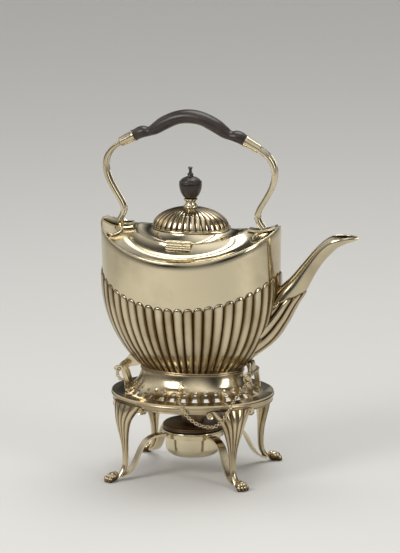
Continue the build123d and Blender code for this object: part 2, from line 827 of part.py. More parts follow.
with BuildPart() as rivets:
    for side in (-1, 1):
        with Locations(Location((axis_x + side * rivet_x, 0, rivet_z), (90, 0, 0))):
            Cylinder(rivet_radius, 2 * grip_end_radius)
rivets.part.label = "rivets"
export_step(rivets.part, "parts/rivets.step")

# Two lugs under the kettle take the pins: a wide barrel at the spout end and a narrow tongue.
with BuildPart() as pivot_barrel:
    with BuildSketch(side_plane()):
        with Locations((pivot_offset, pivot_height)):
            Circle(lug_radius)
        Polygon(*barrel_profile, align=None)
        with Locations((pivot_offset, pivot_height)):
            Circle(pin_radius + running_gap, mode=Mode.SUBTRACT)
    extrude(amount=barrel_width / 2, both=True)
    add(body_envelope.part, mode=Mode.SUBTRACT)
pivot_barrel.part.label = "pivot_barrel"
export_step(pivot_barrel.part, "parts/pivot_barrel.step")

with BuildPart() as lock_tongue:
    with BuildSketch(side_plane()):
        with Locations((lock_offset, lock_height)):
            Circle(lug_radius)
        Polygon(*tongue_profile, align=None)
        with Locations((lock_offset, lock_height)):
            Circle(pin_radius + running_gap, mode=Mode.SUBTRACT)
    extrude(amount=tongue_width / 2, both=True)
    add(body_envelope.part, mode=Mode.SUBTRACT)
lock_tongue.part.label = "lock_tongue"
export_step(lock_tongue.part, "parts/lock_tongue.step")

# The stand's top is one sheet: a level plate, a pierced slope and a collar for the kettle's base.
with BuildPart() as stand_top:
    for angle in front_half:
        plane, reach = ring_plane(plate_oval, collar_oval, angle)
        with BuildSketch(plane):
            with BuildLine():
                stand_outline(reach)
            make_face()
    loft()
    mirror(about=Plane.XZ)
    for angle in even_angles(plate_oval, motif_count)[:-1]:
        with BuildSketch(inward_plane(plate_oval, angle, plate_height - plate_wall - 1)):
            with Locations((motif_dot_inset, 0)):
                Circle(motif_dot_radius)
            upper = [(motif_start + run, half) for run, half in motif_steps]
            lower = [(run, -half) for run, half in reversed(upper)]
            Polygon(*upper, *lower, align=None)
        extrude(amount=2 * slope_end_rise, mode=Mode.SUBTRACT)
stand_top.part.label = "stand_top"
export_step(stand_top.part, "parts/stand_top.step")

moulding_top = plate_height - plate_wall
with BuildPart() as plate_moulding:
    with BuildSketch(level(moulding_top - moulding_height)):
        Ellipse(plate_half_length + moulding_overhang, plate_half_width + moulding_overhang)
        Ellipse(
            plate_half_length + moulding_overhang - moulding_width,
            plate_half_width + moulding_overhang - moulding_width,
            mode=Mode.SUBTRACT,
        )
    extrude(amount=moulding_height)
plate_moulding.part.label = "plate_moulding"
export_step(plate_moulding.part, "parts/plate_moulding.step")

apron_top = moulding_top - moulding_height
with BuildPart() as apron:
    with BuildSketch(level(apron_top - apron_height)):
        Ellipse(plate_half_length - apron_inset, plate_half_width - apron_inset)
        Ellipse(
            plate_half_length - apron_inset - apron_wall,
            plate_half_width - apron_inset - apron_wall,
            mode=Mode.SUBTRACT,
        )
    extrude(amount=apron_height)
apron.part.label = "apron"
export_step(apron.part, "parts/apron.step")

with BuildPart() as burner_ring:
    with BuildSketch(level(ring_level)):
        Circle(ring_radius)
        Circle(ring_bore, mode=Mode.SUBTRACT)
    extrude(amount=ring_height)
burner_ring.part.label = "burner_ring"
export_step(burner_ring.part, "parts/burner_ring.step")

# Four legs widen into scrolled knees under the plate, stand on paws and are braced to the ring.
with BuildPart() as paw_shape:
    for height, half_length, half_width in paw_stations:
        with BuildSketch(Plane((0, 0, height))):
            Ellipse(half_length, half_width)
    loft()
    with Locations(*[(toe_reach, offset, toe_rise) for offset in toe_offsets]):
        Sphere(toe_radius)
    Box(
        4 * toe_reach,
        4 * toe_reach,
        toe_radius,
        align=(Align.CENTER, Align.CENTER, Align.MAX),
        mode=Mode.SUBTRACT,
    )

corners = {
    "back_right": (foot_angle, knee_angle),
    "back_left": (180 - foot_angle, 180 - knee_angle),
    "front_left": (180 + foot_angle, 180 + knee_angle),
    "front_right": (360 - foot_angle, 360 - knee_angle),
}
for name, (angle, knee) in corners.items():
    foot = radial_point(angle, foot_reach)
    plane = corner_plane(angle)

    with BuildPart() as paw:
        with Locations(Location((foot.X, foot.Y, 0), (0, 0, angle))):
            add(paw_shape.part)
    paw.part.label = f"paw_{name}"
    export_step(paw.part, f"parts/paw_{name}.step")

    with BuildPart() as leg:
        for height, reach, depth, width in leg_stations:
            centre = radial_point(angle, reach)
            facing = inward_plane(plate_oval, knee, height).x_dir
            with BuildSketch(Plane((centre.X, centre.Y, height), x_dir=facing)):
                Ellipse(depth / 2, width / 2)
        loft()
        for turn in (-volute_spread, volute_spread):
            edge = inward_plane(plate_oval, knee + turn, apron_top - volute_drop)
            with BuildSketch(Plane(edge.origin - edge.x_dir * volute_proud, z_dir=edge.x_dir)):
                Circle(volute_radius)
            extrude(amount=volute_depth)
        with BuildSketch(level(apron_top - apron_height - solder_gap)):
            Ellipse(
                plate_half_length - apron_inset + solder_gap,
                plate_half_width - apron_inset + solder_gap,
            )
        extrude(amount=2 * apron_height, mode=Mode.SUBTRACT)
        add(paw.part, mode=Mode.SUBTRACT)
    leg.part.label = f"leg_{name}"
    export_step(leg.part, f"parts/leg_{name}.step")

    with BuildPart() as brace_strip:
        with BuildSketch(plane):
            with BuildLine():
                Spline(brace_path)
            trace(line_width=brace_thickness)
        extrude(amount=brace_width / 2, both=True)
        with BuildSketch(level(ring_level - ring_height)):
            Circle(ring_radius + solder_gap)
        extrude(amount=3 * ring_height, mode=Mode.SUBTRACT)
        add([leg.part, paw.part], mode=Mode.SUBTRACT)
    with BuildPart() as brace:
        add(largest(brace_strip.part))
    brace.part.label = f"brace_{name}"
    export_step(brace.part, f"parts/brace_{name}.step")

# Ears on the stand stand on both sides of each lug of the kettle.
pivot_ear_middle = barrel_width / 2 + ear_gap + ear_thickness / 2
lock_ear_middle = tongue_width / 2 + ear_gap + ear_thickness / 2
with BuildPart() as pivot_ear_blocks:
    for middle in (-pivot_ear_middle, pivot_ear_middle):
        with BuildSketch(side_plane(middle)):
            Polygon(*pivot_ear_profile, align=None)
            with Locations((pivot_offset, pivot_height)):
                Circle(lug_radius)
                Circle(pin_radius + running_gap, mode=Mode.SUBTRACT)
        extrude(amount=ear_thickness / 2, both=True)
    add(stand_top.part, mode=Mode.SUBTRACT)
with BuildPart() as pivot_ears:
    add(largest(pivot_ear_blocks.part, 2))
pivot_ears.part.label = "pivot_ears"
export_step(pivot_ears.part, "parts/pivot_ears.step")

with BuildPart() as lock_ear_blocks:
    for middle in (-lock_ear_middle, lock_ear_middle):
        with BuildSketch(side_plane(middle)):
            Polygon(*lock_ear_profile, align=None)
            with Locations((lock_offset, lock_height)):
                Circle(lug_radius)
                Circle(pin_radius + running_gap, mode=Mode.SUBTRACT)
        extrude(amount=ear_thickness / 2, both=True)
    add(stand_top.part, mode=Mode.SUBTRACT)
with BuildPart() as lock_ears:
    add(largest(lock_ear_blocks.part, 2))
lock_ears.part.label = "lock_ears"
export_step(lock_ears.part, "parts/lock_ears.step")

# The two pins: one with a ring that the kettle turns on, one with a flat key head that locks it.
pivot_pin_end = pivot_ear_middle + ear_thickness / 2 + 1.5
with BuildPart() as pivot_pin:
    with BuildSketch(side_plane(-pivot_pin_end - 1.5)):
        with Locations((pivot_offset, pivot_height)):
            Circle(pin_radius)
    extrude(amount=-(2 * pivot_pin_end + 1.5))
    with Locations(
        Location((axis_x + pivot_offset, -pivot_pin_end - 1, pivot_height - pin_ring_radius), (90, 0, 0))
    ):
        Torus(pin_ring_radius, pin_wire_radius)
pivot_pin.part.label = "pivot_pin"
export_step(pivot_pin.part, "parts/pivot_pin.step")

lock_tip = -tongue_width / 2 - lock_tip_gap
lock_head = -lock_ear_middle - ear_thickness / 2 - running_gap - lock_travel
with BuildPart() as lock_pin:
    with BuildSketch(side_plane(lock_tip)):
        with Locations((lock_offset, lock_height)):
            Circle(pin_radius)
    extrude(amount=lock_tip - lock_head)
    with BuildSketch(side_plane(lock_head)):
        with Locations((lock_offset, lock_height)):
            Ellipse(lock_head_width / 2, lock_head_height / 2)
            for side in (-1, 1):
                with Locations((side * lock_head_width / 4, 0)):
                    Circle(lock_head_hole_radius, mode=Mode.SUBTRACT)
    extrude(amount=lock_head_depth)
lock_pin.part.label = "lock_pin"
export_step(lock_pin.part, "parts/lock_pin.step")

# Round-link chains run from eyelets on the stand to the two pins.
lock_links = link_places(lock_chain_path, link_pitch)
pivot_links = link_places(pivot_chain_path, link_pitch)
with BuildPart() as anchor_blocks:
    with Locations(lock_links[-1].position - Vector(0, 0, link_radius)):
        Cylinder(anchor_radius, anchor_length, align=(Align.CENTER, Align.CENTER, Align.MAX))
    with BuildSketch(Plane(pivot_links[0].position + Vector(0, link_radius, 0), z_dir=(0, 1, 0))):
        Circle(anchor_radius)
    extrude(amount=anchor_length)
    with Locations(lock_links[-1], pivot_links[0]):
        Torus(link_radius, link_wire_radius)
    add(stand_top.part, mode=Mode.SUBTRACT)
with BuildPart() as chain_anchors:
    add(largest(anchor_blocks.part, 2))
chain_anchors.part.label = "chain_anchors"
export_step(chain_anchors.part, "parts/chain_anchors.step")

with BuildPart() as lock_chain:
    with Locations(*lock_links[:-1]):
        Torus(link_radius, link_wire_radius)
lock_chain.part.label = "lock_chain"
export_step(lock_chain.part, "parts/lock_chain.step")

with BuildPart() as pivot_chain:
    with Locations(*pivot_links[1:]):
        Torus(link_radius, link_wire_radius)
pivot_chain.part.label = "pivot_chain"
export_step(pivot_chain.part, "parts/pivot_chain.step")

# The spirit burner hangs in the ring by its lip and lifts straight out.
lip_level = ring_level + ring_height
with BuildPart() as burner_bowl:
    with BuildSketch(side_plane()):
        with BuildLine():
            Polyline((0, bowl_bottom), (bowl_radius - bowl_round, bowl_bottom))
            RadiusArc(
                (bowl_radius - bowl_round, bowl_bottom),
                (bowl_radius, bowl_bottom + bowl_round),
                -bowl_round,
            )
            Polyline(
                (bowl_radius, bowl_bottom + bowl_round),
                (bowl_radius, lip_level),
                (lip_radius, lip_level),
                (lip_radius, lip_level + lip_height),
                (bowl_radius - bowl_wall, lip_level + lip_height),
                (bowl_radius - bowl_wall, bowl_bottom + bowl_round),
            )
            RadiusArc(
                (bowl_radius - bowl_wall, bowl_bottom + bowl_round),
                (bowl_radius - bowl_round, bowl_bottom + bowl_wall),
                bowl_round - bowl_wall,
            )
            Polyline(
                (bowl_radius - bowl_round, bowl_bottom + bowl_wall),
                (0, bowl_bottom + bowl_wall),
                (0, bowl_bottom),
            )
        make_face()
    revolve(axis=Axis((axis_x, 0, 0), (0, 0, 1)))
burner_bowl.part.label = "burner_bowl"
export_step(burner_bowl.part, "parts/burner_bowl.step")

cover_level = lip_level + lip_height
with BuildPart() as burner_cover:
    with BuildSketch(level(cover_level)):
        Circle(lip_radius)
        Circle(burner_cover_hole, mode=Mode.SUBTRACT)
    extrude(amount=cover_height)
burner_cover.part.label = "burner_cover"
export_step(burner_cover.part, "parts/burner_cover.step")

collar_level = cover_level + cover_height
with BuildPart() as burner_collar:
    with BuildSketch(level(collar_level)):
        Circle(burner_collar_radius)
        Circle(burner_collar_radius - burner_collar_wall, mode=Mode.SUBTRACT)
    extrude(amount=burner_collar_height)
    for share in burner_bead_shares:
        with Locations((axis_x, 0, collar_level + share * burner_collar_height)):
            Torus(burner_collar_radius - 0.2, burner_bead_radius)
burner_collar.part.label = "burner_collar"
export_step(burner_collar.part, "parts/burner_collar.step")

wick_plate_level = collar_level + burner_collar_height
with BuildPart() as wick_plate:
    with BuildSketch(level(wick_plate_level)):
        Circle(wick_plate_radius)
        Circle(wick_tube_radius - wick_tube_wall, mode=Mode.SUBTRACT)
    extrude(amount=wick_plate_height)
wick_plate.part.label = "wick_plate"
export_step(wick_plate.part, "parts/wick_plate.step")

tube_level = wick_plate_level + wick_plate_height
with BuildPart() as wick_tube:
    with BuildSketch(level(tube_level)):
        Circle(wick_tube_radius)
        Circle(wick_tube_radius - wick_tube_wall, mode=Mode.SUBTRACT)
    extrude(amount=wick_tube_height)
wick_tube.part.label = "wick_tube"
export_step(wick_tube.part, "parts/wick_tube.step")

with BuildPart() as wick:
    with BuildSketch(level(wick_plate_level)):
        Circle(wick_tube_radius - wick_tube_wall - wick_gap)
    extrude(amount=wick_plate_height + wick_tube_height + wick_proud)
wick.part.label = "wick"
export_step(wick.part, "parts/wick.step")
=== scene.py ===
"""A half-fluted oval silver kettle on a pierced stand with a spirit burner, dressed around its frame."""
import cmath
import logging
import math
from collections.abc import Callable, Sequence
from dataclasses import dataclass
from enum import Enum

import bmesh
import bpy
from mathutils import Matrix, Vector
from mathutils.bvhtree import BVHTree


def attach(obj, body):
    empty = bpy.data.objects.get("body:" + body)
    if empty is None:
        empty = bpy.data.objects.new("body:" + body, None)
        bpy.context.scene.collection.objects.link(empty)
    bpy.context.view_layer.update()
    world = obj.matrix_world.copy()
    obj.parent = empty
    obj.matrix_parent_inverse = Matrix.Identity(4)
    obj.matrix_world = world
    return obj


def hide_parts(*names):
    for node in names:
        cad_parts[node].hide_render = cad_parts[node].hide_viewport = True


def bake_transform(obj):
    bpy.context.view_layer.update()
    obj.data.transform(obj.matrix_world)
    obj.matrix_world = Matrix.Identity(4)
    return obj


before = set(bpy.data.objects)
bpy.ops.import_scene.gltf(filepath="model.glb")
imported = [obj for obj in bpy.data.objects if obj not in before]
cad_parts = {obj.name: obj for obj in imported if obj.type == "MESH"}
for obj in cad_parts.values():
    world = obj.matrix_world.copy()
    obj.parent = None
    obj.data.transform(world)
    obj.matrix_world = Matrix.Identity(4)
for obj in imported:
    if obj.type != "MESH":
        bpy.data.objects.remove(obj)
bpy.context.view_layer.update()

MM = 0.001
FULL_TURN = 2 * math.pi
UP = Vector((0, 0, 1))
# Where the kettle's own axis stands in the frame, in millimetres.
AXIS_X = -37.9
PHOTO_MM_PER_PIXEL = 0.92
IMAGE_SIZE = (400, 553)
QUARTERS = (("left_front", -1, -1), ("left_back", -1, 1), ("right_front", 1, -1), ("right_back", 1, 1))

log = logging.getLogger("kettle")

Point = tuple[float, float]
Ring = list[Vector]
Stations = Sequence[Sequence[float]]


class Body(Enum):
    """The bodies of the frame that pieces ride on."""

    STAND = "stand"
    KETTLE = "kettle"
    LID = "lid"
    BURNER = "burner"
    LOCK_PIN = "lock_pin"
    PIVOT_PIN = "pivot_pin"


class Slot(Enum):
    """The record's material slots."""

    SILVER = "silver"
    WOOD = "dark_wood"
    COPPER = "copper_brass"
    IRON = "blackened_iron"
    COTTON = "cotton"


def linear(hex_colour: str) -> tuple[float, float, float, float]:
    """Turns an sRGB hex colour into linear values.

    Args:
        hex_colour: Six hex digits.

    Returns:
        Linear red, green, blue and an alpha of 1.
    """
    values = [int(hex_colour[start:start + 2], 16) / 255 for start in (0, 2, 4)]
    curved = [v / 12.92 if v <= 0.04045 else ((v + 0.055) / 1.055) ** 2.4 for v in values]
    return (curved[0], curved[1], curved[2], 1.0)


def add_node(tree: bpy.types.NodeTree, kind: str, settings: dict | None = None,
             inputs: dict | None = None) -> bpy.types.Node:
    """Adds a shader node with its settings, values and links.

    Args:
        tree: The node tree that gets the node.
        kind: The node's type name.
        settings: Values for the node's own properties.
        inputs: For each socket, a value or the output socket that feeds it.

    Returns:
        The new node.
    """
    node = tree.nodes.new(kind)
    for name, value in (settings or {}).items():
        setattr(node, name, value)
    for name, value in (inputs or {}).items():
        if isinstance(value, bpy.types.NodeSocket):
            tree.links.new(value, node.inputs[name])
        else:
            node.inputs[name].default_value = value
    return node


def mesh_from(name: str, bm: bmesh.types.BMesh) -> bpy.types.Mesh:
    """Makes a mesh of a shape.

    Args:
        name: The mesh's name.
        bm: The shape; it is freed here.

    Returns:
        The new mesh.
    """
    mesh = bpy.data.meshes.new(name)
    bm.to_mesh(mesh)
    bm.free()
    return mesh


def add_object(name: str, data: bpy.types.ID) -> bpy.types.Object:
    """Adds a mesh, a light or a camera to the scene.

    Args:
        name: The object's name.
        data: What the object shows.

    Returns:
        The new object.
    """
    made = bpy.data.objects.new(name, data)
    bpy.context.scene.collection.objects.link(made)
    return made


@dataclass(frozen=True)
class Finish:
    """A surface: its common name, its colours and how it was made.

    Attributes:
        name: The material's name.
        slot: Its material slot in the record; not used.
        colour: The clean surface as sRGB hex.
        aged_and_shaded: The tarnished or worn surface as sRGB hex, also the colour of the painted shade.
        metallic: 1 for bare metal, 0 for the rest.
        roughness: The clean surface's roughness.
        rough_spread: How much rougher the aged surface is.
        patch_mm: Size of the tarnished patches.
        patch_share: How much of the surface the patches reach.
        grain_mm: Spacing of the fine relief.
        grain_depth_mm: Depth of the fine relief.
    """

    name: str
    slot: Slot
    colour: str
    aged_and_shaded: str
    metallic: float
    roughness: float
    rough_spread: float
    patch_mm: float
    patch_share: float
    grain_mm: float
    grain_depth_mm: float

    def material(self) -> bpy.types.Material:
        """Builds the material once and gives it back after that."""
        return bpy.data.materials.get(self.name) or self.build()

    def build(self) -> bpy.types.Material:
        """Builds the node tree: tarnished patches, and the tarnishing and painted shade that the mesh
        carries, mostly in grooves, over the clean surface.

        Returns:
            The new material.
        """
        material = bpy.data.materials.new(self.name)
        material.use_nodes = True
        tree = material.node_tree
        tree.nodes.clear()
        place = add_node(tree, "ShaderNodeTexCoord").outputs["Object"]
        patches = add_node(tree, "ShaderNodeTexNoise", inputs={
            "Vector": place, "Scale": 1 / (self.patch_mm * MM), "Detail": 4.0, "Roughness": 0.6})
        spread = add_node(tree, "ShaderNodeMapRange", inputs={
            "Value": patches.outputs["Fac"], "From Min": 0.62 - 0.3 * self.patch_share,
            "From Max": 0.95 - 0.3 * self.patch_share, "To Max": 0.5})
        # The mesh's tarnishing and its painted shade, in grooves and round reed tips, come in through this
        # attribute.
        groove = add_node(tree, "ShaderNodeAttribute", {"attribute_name": "tarnish_and_shade"})
        reach = add_node(tree, "ShaderNodeMath", {"operation": "ADD", "use_clamp": True}, {
            0: spread.outputs["Result"], 1: groove.outputs["Fac"]})
        colour = add_node(tree, "ShaderNodeMix", {"data_type": "RGBA"}, {
            0: reach.outputs[0], 6: linear(self.colour), 7: linear(self.aged_and_shaded)})
        dull = add_node(tree, "ShaderNodeMapRange", inputs={
            "Value": reach.outputs[0], "To Min": self.roughness,
            "To Max": self.roughness + self.rough_spread})
        grain = add_node(tree, "ShaderNodeTexNoise", inputs={
            "Vector": place, "Scale": 1 / (self.grain_mm * MM), "Detail": 2.0})
        relief = add_node(tree, "ShaderNodeBump", inputs={
            "Height": grain.outputs["Fac"], "Distance": self.grain_depth_mm * MM, "Strength": 0.6})
        shader = add_node(tree, "ShaderNodeBsdfPrincipled", inputs={
            "Base Color": colour.outputs[2], "Metallic": self.metallic,
            "Roughness": dull.outputs["Result"], "Normal": relief.outputs["Normal"]})
        add_node(tree, "ShaderNodeOutputMaterial", inputs={"Surface": shader.outputs[0]})
        return material


# Polished silver plate: bright, faintly yellow, with straw-coloured tarnish in soft patches.
SILVER = Finish("polished silver plate", Slot.SILVER, "D6CAAC", "5E4620",
                1.0, 0.12, 0.18, 75.0, 0.5, 9.0, 0.03)
# The same plate where heat has browned it, on the stand and at the kettle's foot.
WARM_SILVER = Finish("heat-stained silver plate", Slot.SILVER, "CFC0A0", "5A4220",
                     1.0, 0.16, 0.2, 36.0, 0.45, 7.0, 0.04)
# Stained and polished hardwood: nearly black, with a soft sheen and fine open pores.
DARK_WOOD = Finish("dark stained hardwood", Slot.WOOD, "2A211C", "4A3A2E",
                   0.0, 0.34, 0.1, 12.0, 0.5, 1.6, 0.06)
# Copper alloy that heat has browned, with a dull satin face; its colours are also darkened as painted
# shade, for the shadow over the burner's top.
COPPER = Finish("heat-toned copper brass with painted shade", Slot.COPPER, "75604A", "3A2A1E",
                1.0, 0.32, 0.1, 40.0, 0.3, 6.0, 0.005)
# Blackened iron: dark, rough and dry.
IRON = Finish("blackened iron", Slot.IRON, "2B2624", "3D2E24", 1.0, 0.5, 0.15, 8.0, 0.6, 1.2, 0.08)
# Woven cotton wick: matt and off-white, with a thread relief as coarse as it needs to show.
COTTON = Finish("cotton wick", Slot.COTTON, "D8CFBC", "8E7B60", 0.0, 0.9, 0.05, 6.0, 0.7, 0.9, 0.25)


@dataclass
class Piece:
    """One finished mesh and what the frame needs to know about it.

    Attributes:
        name: The object's name.
        body: The body that it rides on.
        finish: Its finish.
        nodes: The CAD nodes that it stands for.
        sharp_angle: Edges sharper than this, in degrees, stay sharp.
    """

    name: str
    body: Body
    finish: Finish
    nodes: Sequence[str] = ()
    sharp_angle: float = 40.0

    def finish_mesh(self, bm: bmesh.types.BMesh, in_millimetres: bool = True) -> bpy.types.Object:
        """Turns a shape into the object, and makes it ride on its body.

        Args:
            bm: The shape; it is freed here.
            in_millimetres: True where it is in millimetres from the kettle's own axis.

        Returns:
            The new object.
        """
        if in_millimetres:
            bmesh.ops.translate(bm, verts=bm.verts, vec=(AXIS_X, 0, 0))
            bmesh.ops.scale(bm, verts=bm.verts, vec=(MM, MM, MM))
        made = self.dress(bm)
        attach(made, self.body.value)
        self.claim()
        return made

    def dress(self, bm: bmesh.types.BMesh) -> bpy.types.Object:
        """Makes the object, shades it and gives it its material.

        Args:
            bm: The shape in metres; it is freed here.

        Returns:
            The new object.
        """
        mesh = mesh_from(self.name, bm)
        mesh.shade_smooth()
        mesh.set_sharp_from_angle(angle=math.radians(self.sharp_angle))
        mesh.materials.append(self.finish.material())
        log.info("%s: %d faces", self.name, len(mesh.polygons))
        return add_object(self.name, mesh)

    def claim(self) -> None:
        """Hides the CAD nodes that the object stands for.
        """
        if self.nodes:
            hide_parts(*self.nodes)


def smooth_copy(node: str) -> bmesh.types.BMesh:
    """Copies a CAD node, with its triangles merged.

    Args:
        node: The node's name.

    Returns:
        The copy, in metres.
    """
    bm = bmesh.new()
    bm.from_mesh(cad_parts[node].data)
    bmesh.ops.remove_doubles(bm, verts=bm.verts, dist=0.00001)
    bmesh.ops.dissolve_limit(bm, angle_limit=math.radians(0.5), verts=bm.verts, edges=bm.edges,
                             delimit={"NORMAL"})
    return bm


def turns(count: int) -> list[float]:
    """Angles in radians that part a full turn into equal steps."""
    return [FULL_TURN * step / count for step in range(count)]


def arc(start: Point, middle: Point, end: Point, steps: int = 10) -> list[Point]:
    """Points on the circle through three points.

    Args:
        start: The first point.
        middle: A point on the way.
        end: The last point.
        steps: How many stretches the arc is cut into.

    Returns:
        The points, both ends included.
    """
    a, b, c = (complex(*point) for point in (start, middle, end))
    ratio = (c - a) / (b - a)
    centre = a + (b - a) * (ratio - abs(ratio) ** 2) / (2j * ratio.imag)
    turn = cmath.phase((b - centre) / (a - centre)) + cmath.phase((c - centre) / (b - centre))
    found = [centre + (a - centre) * cmath.rect(1, turn * step / steps) for step in range(steps + 1)]
    return [(point.real, point.imag) for point in found]


def smooth_line(points: Stations, steps: int) -> list[list[float]]:
    """A smooth curve through stations, with any number of values at each.

    Args:
        points: The stations.
        steps: How many stretches lie between two stations.

    Returns:
        The stations with the values between them.
    """
    line = []
    for index in range(len(points) - 1):
        before = points[max(index - 1, 0)]
        here, there = points[index], points[index + 1]
        after = points[min(index + 2, len(points) - 1)]
        for step in range(steps):
            t = step / steps
            line.append([
                0.5 * (2 * b + (c - a) * t + (2 * a - 5 * b + 4 * c - d) * t * t
                       + (3 * b - a - 3 * c + d) * t ** 3)
                for a, b, c, d in zip(before, here, there, after)])
    return line + [list(points[-1])]


def skin(rings: Sequence[Ring], cap_first: bool = False, cap_last: bool = False,
         closed: bool = False, tarnish_and_shade: Stations | float = 0.0) -> bmesh.types.BMesh:
    """Skins a shape by extruding one ring of edges through all its rings.

    Args:
        rings: Rings with the same number of points.
        cap_first: Whether the first ring is filled.
        cap_last: Whether the last ring is filled.
        closed: Whether the last ring is joined to the first.
        tarnish_and_shade: How much tarnishing and painted shade darken the shape, from 0 to 1, as one value
            or for each ring's points.

    Returns:
        The shape, with its faces pointing outwards.
    """
    bm = bmesh.new()
    layer = bm.verts.layers.float.new("tarnish_and_shade")
    bmesh.ops.create_circle(bm, segments=len(rings[0]), radius=1.0)
    ring_verts = list(bm.verts)
    edges = list(bm.edges)
    first_edges = edges
    for row, ring in enumerate(rings):
        if row:
            made = bmesh.ops.extrude_edge_only(bm, edges=edges)["geom"]
            order = {vert: index for index, vert in enumerate(ring_verts)}
            new_verts = [item for item in made if isinstance(item, bmesh.types.BMVert)]
            new_set = set(new_verts)
            for vert in new_verts:
                old = next(e.other_vert(vert) for e in vert.link_edges if e.other_vert(vert) in order)
                ring_verts[order[old]] = vert
            edges = [item for item in made if isinstance(item, bmesh.types.BMEdge)
                     and item.verts[0] in new_set and item.verts[1] in new_set]
        for index, (vert, point) in enumerate(zip(ring_verts, ring)):
            vert.co = point
            vert[layer] = tarnish_and_shade if isinstance(tarnish_and_shade, float) else tarnish_and_shade[row][index]
    if cap_first:
        bmesh.ops.edgeloop_fill(bm, edges=first_edges)
    if cap_last:
        bmesh.ops.edgeloop_fill(bm, edges=edges)
    if closed:
        bmesh.ops.bridge_loops(bm, edges=first_edges + edges)
    bmesh.ops.remove_doubles(bm, verts=bm.verts, dist=0.0005)
    bmesh.ops.recalc_face_normals(bm, faces=bm.faces)
    return bm


def turned(profile: Stations, steps: int = 96) -> bmesh.types.BMesh:
    """Turns a profile of radius and height about the kettle's axis.

    Args:
        profile: The profile's points.
        steps: How many steps make the full turn.

    Returns:
        The turned shape.
    """
    bm = bmesh.new()
    verts = [bm.verts.new((radius, 0, height)) for radius, height in profile]
    edges = [bm.edges.new(pair) for pair in zip(verts, verts[1:])]
    bmesh.ops.spin(bm, geom=verts + edges, cent=(0, 0, 0), axis=UP, angle=FULL_TURN,
                   steps=steps, use_merge=True)
    bmesh.ops.remove_doubles(bm, verts=bm.verts, dist=0.001)
    bmesh.ops.recalc_face_normals(bm, faces=bm.faces)
    return bm


def cut_off(bm: bmesh.types.BMesh, height: float, way: int) -> None:
    """Cuts away what lies above a height, where way is 1, or below it, where way is -1."""
    bmesh.ops.bisect_plane(bm, geom=list(bm.verts) + list(bm.edges) + list(bm.faces),
                           plane_co=(0, 0, height), plane_no=(0, 0, way), clear_outer=True)


def grown(oval: Point, by: float) -> Point:
    """An oval that lies outside another by a distance, or inside it where that is negative."""
    return oval[0] + by, oval[1] + by


def oval_point(oval: Point, angle: float) -> Vector:
    """A point on an oval at a parameter angle in radians."""
    return Vector((oval[0] * math.cos(angle), oval[1] * math.sin(angle), 0))


def round_shares(count: int) -> list[float]:
    """Places across a reed that lie closer together near its two grooves."""
    return [(1 - math.cos(math.pi * step / count)) / 2 for step in range(count)]


def places_along(line: Sequence[Vector], shares: Sequence[float]) -> list[float]:
    """Finds where shares of a line's length fall.

    Args:
        line: The line's points.
        shares: Growing shares of the whole length.

    Returns:
        For each share, the number of the point before it and the part of the way to the next.
    """
    lengths = [0.0]
    for first, second in zip(line, line[1:]):
        lengths.append(lengths[-1] + (second - first).length)
    found = []
    step = 0
    for share in shares:
        wanted = lengths[-1] * share
        while step < len(line) - 2 and lengths[step + 1] < wanted:
            step += 1
        found.append(step + (wanted - lengths[step]) / (lengths[step + 1] - lengths[step]))
    return found


def even_angles(oval: Point, lobes: int, shares: Sequence[float]) -> list[float]:
    """Parameter angles that part an oval into lobes of equal length.

    Args:
        oval: Half length and half width.
        lobes: How many lobes go round.
        shares: Where each lobe's points lie, as shares of its width.

    Returns:
        The angles in radians.
    """
    fine = 2880
    line = [oval_point(oval, FULL_TURN * step / fine) for step in range(fine + 1)]
    wanted = [(lobe + share) / lobes for lobe in range(lobes) for share in shares]
    return [FULL_TURN * place / fine for place in places_along(line, wanted)]


def saddle(angle: float, end_height: float, dip: float) -> float:
    """Height of a boat-shaped edge that dips at the front and the back."""
    return end_height - dip * abs(math.sin(angle)) ** 1.5


def smooth_step(value: float) -> float:
    """Eases from 0 to 1 and stays there outside that range."""
    t = min(max(value, 0.0), 1.0)
    return t * t * (3 - 2 * t)


def round_height(u: float) -> float:
    """The height of a half-round reed across its width, from 0 in its grooves to 1 on its crest."""
    return math.sqrt(max(1 - (2 * u - 1) ** 2, 0.0))


def ball_height(u: float, below: float) -> float:
    """The height of a half-round reed, as a share of its crest's, so many half widths below its tip."""
    return math.sqrt(max(1 - (2 * u - 1) ** 2 - max(1 - below, 0.0) ** 2, 0.0))


def groove_shade(u: float) -> float:
    """How much painted shade darkens a reed across it: none on its crest, most beside its grooves."""
    return smooth_step((abs(2 * u - 1) - 0.3) / 0.65)


def tube(line: Sequence[Vector], radius: float, flat: float = 1.0, segments: int = 12) -> list[Ring]:
    """Rings of a rod that follows a line.

    Args:
        line: The points of its middle line.
        radius: Its radius, across.
        flat: Its height as a share of its width.
        segments: How many points go round it.

    Returns:
        One ring for each point of the line.
    """
    rings = []
    for index, centre in enumerate(line):
        along = (line[min(index + 1, len(line) - 1)] - line[max(index - 1, 0)]).normalized()
        level = along.cross(UP)
        level = level.normalized() if level.length > 0.01 else Vector((0, 1, 0))
        upward = level.cross(along)
        rings.append([centre + level * (radius * math.cos(a)) + upward * (flat * radius * math.sin(a))
                      for a in turns(segments)])
    return rings


def tilted_point(station: Sequence[float], angle: float, out: float = 0.0) -> Vector:
    """A point on an oval section that stands square to a tilted middle line.

    Args:
        station: The section's x, height, tilt in degrees, depth and width.
        angle: The angle round the section.
        out: How far outside the oval the point lies.

    Returns:
        The point.
    """
    x, height, tilt, depth, width = station
    turn = math.radians(tilt)
    up = Vector((-math.sin(turn), 0, math.cos(turn)))
    return (Vector((x, 0, height)) + up * ((depth / 2 + out) * math.sin(angle))
            + Vector((0, (width / 2 + out) * math.cos(angle), 0)))


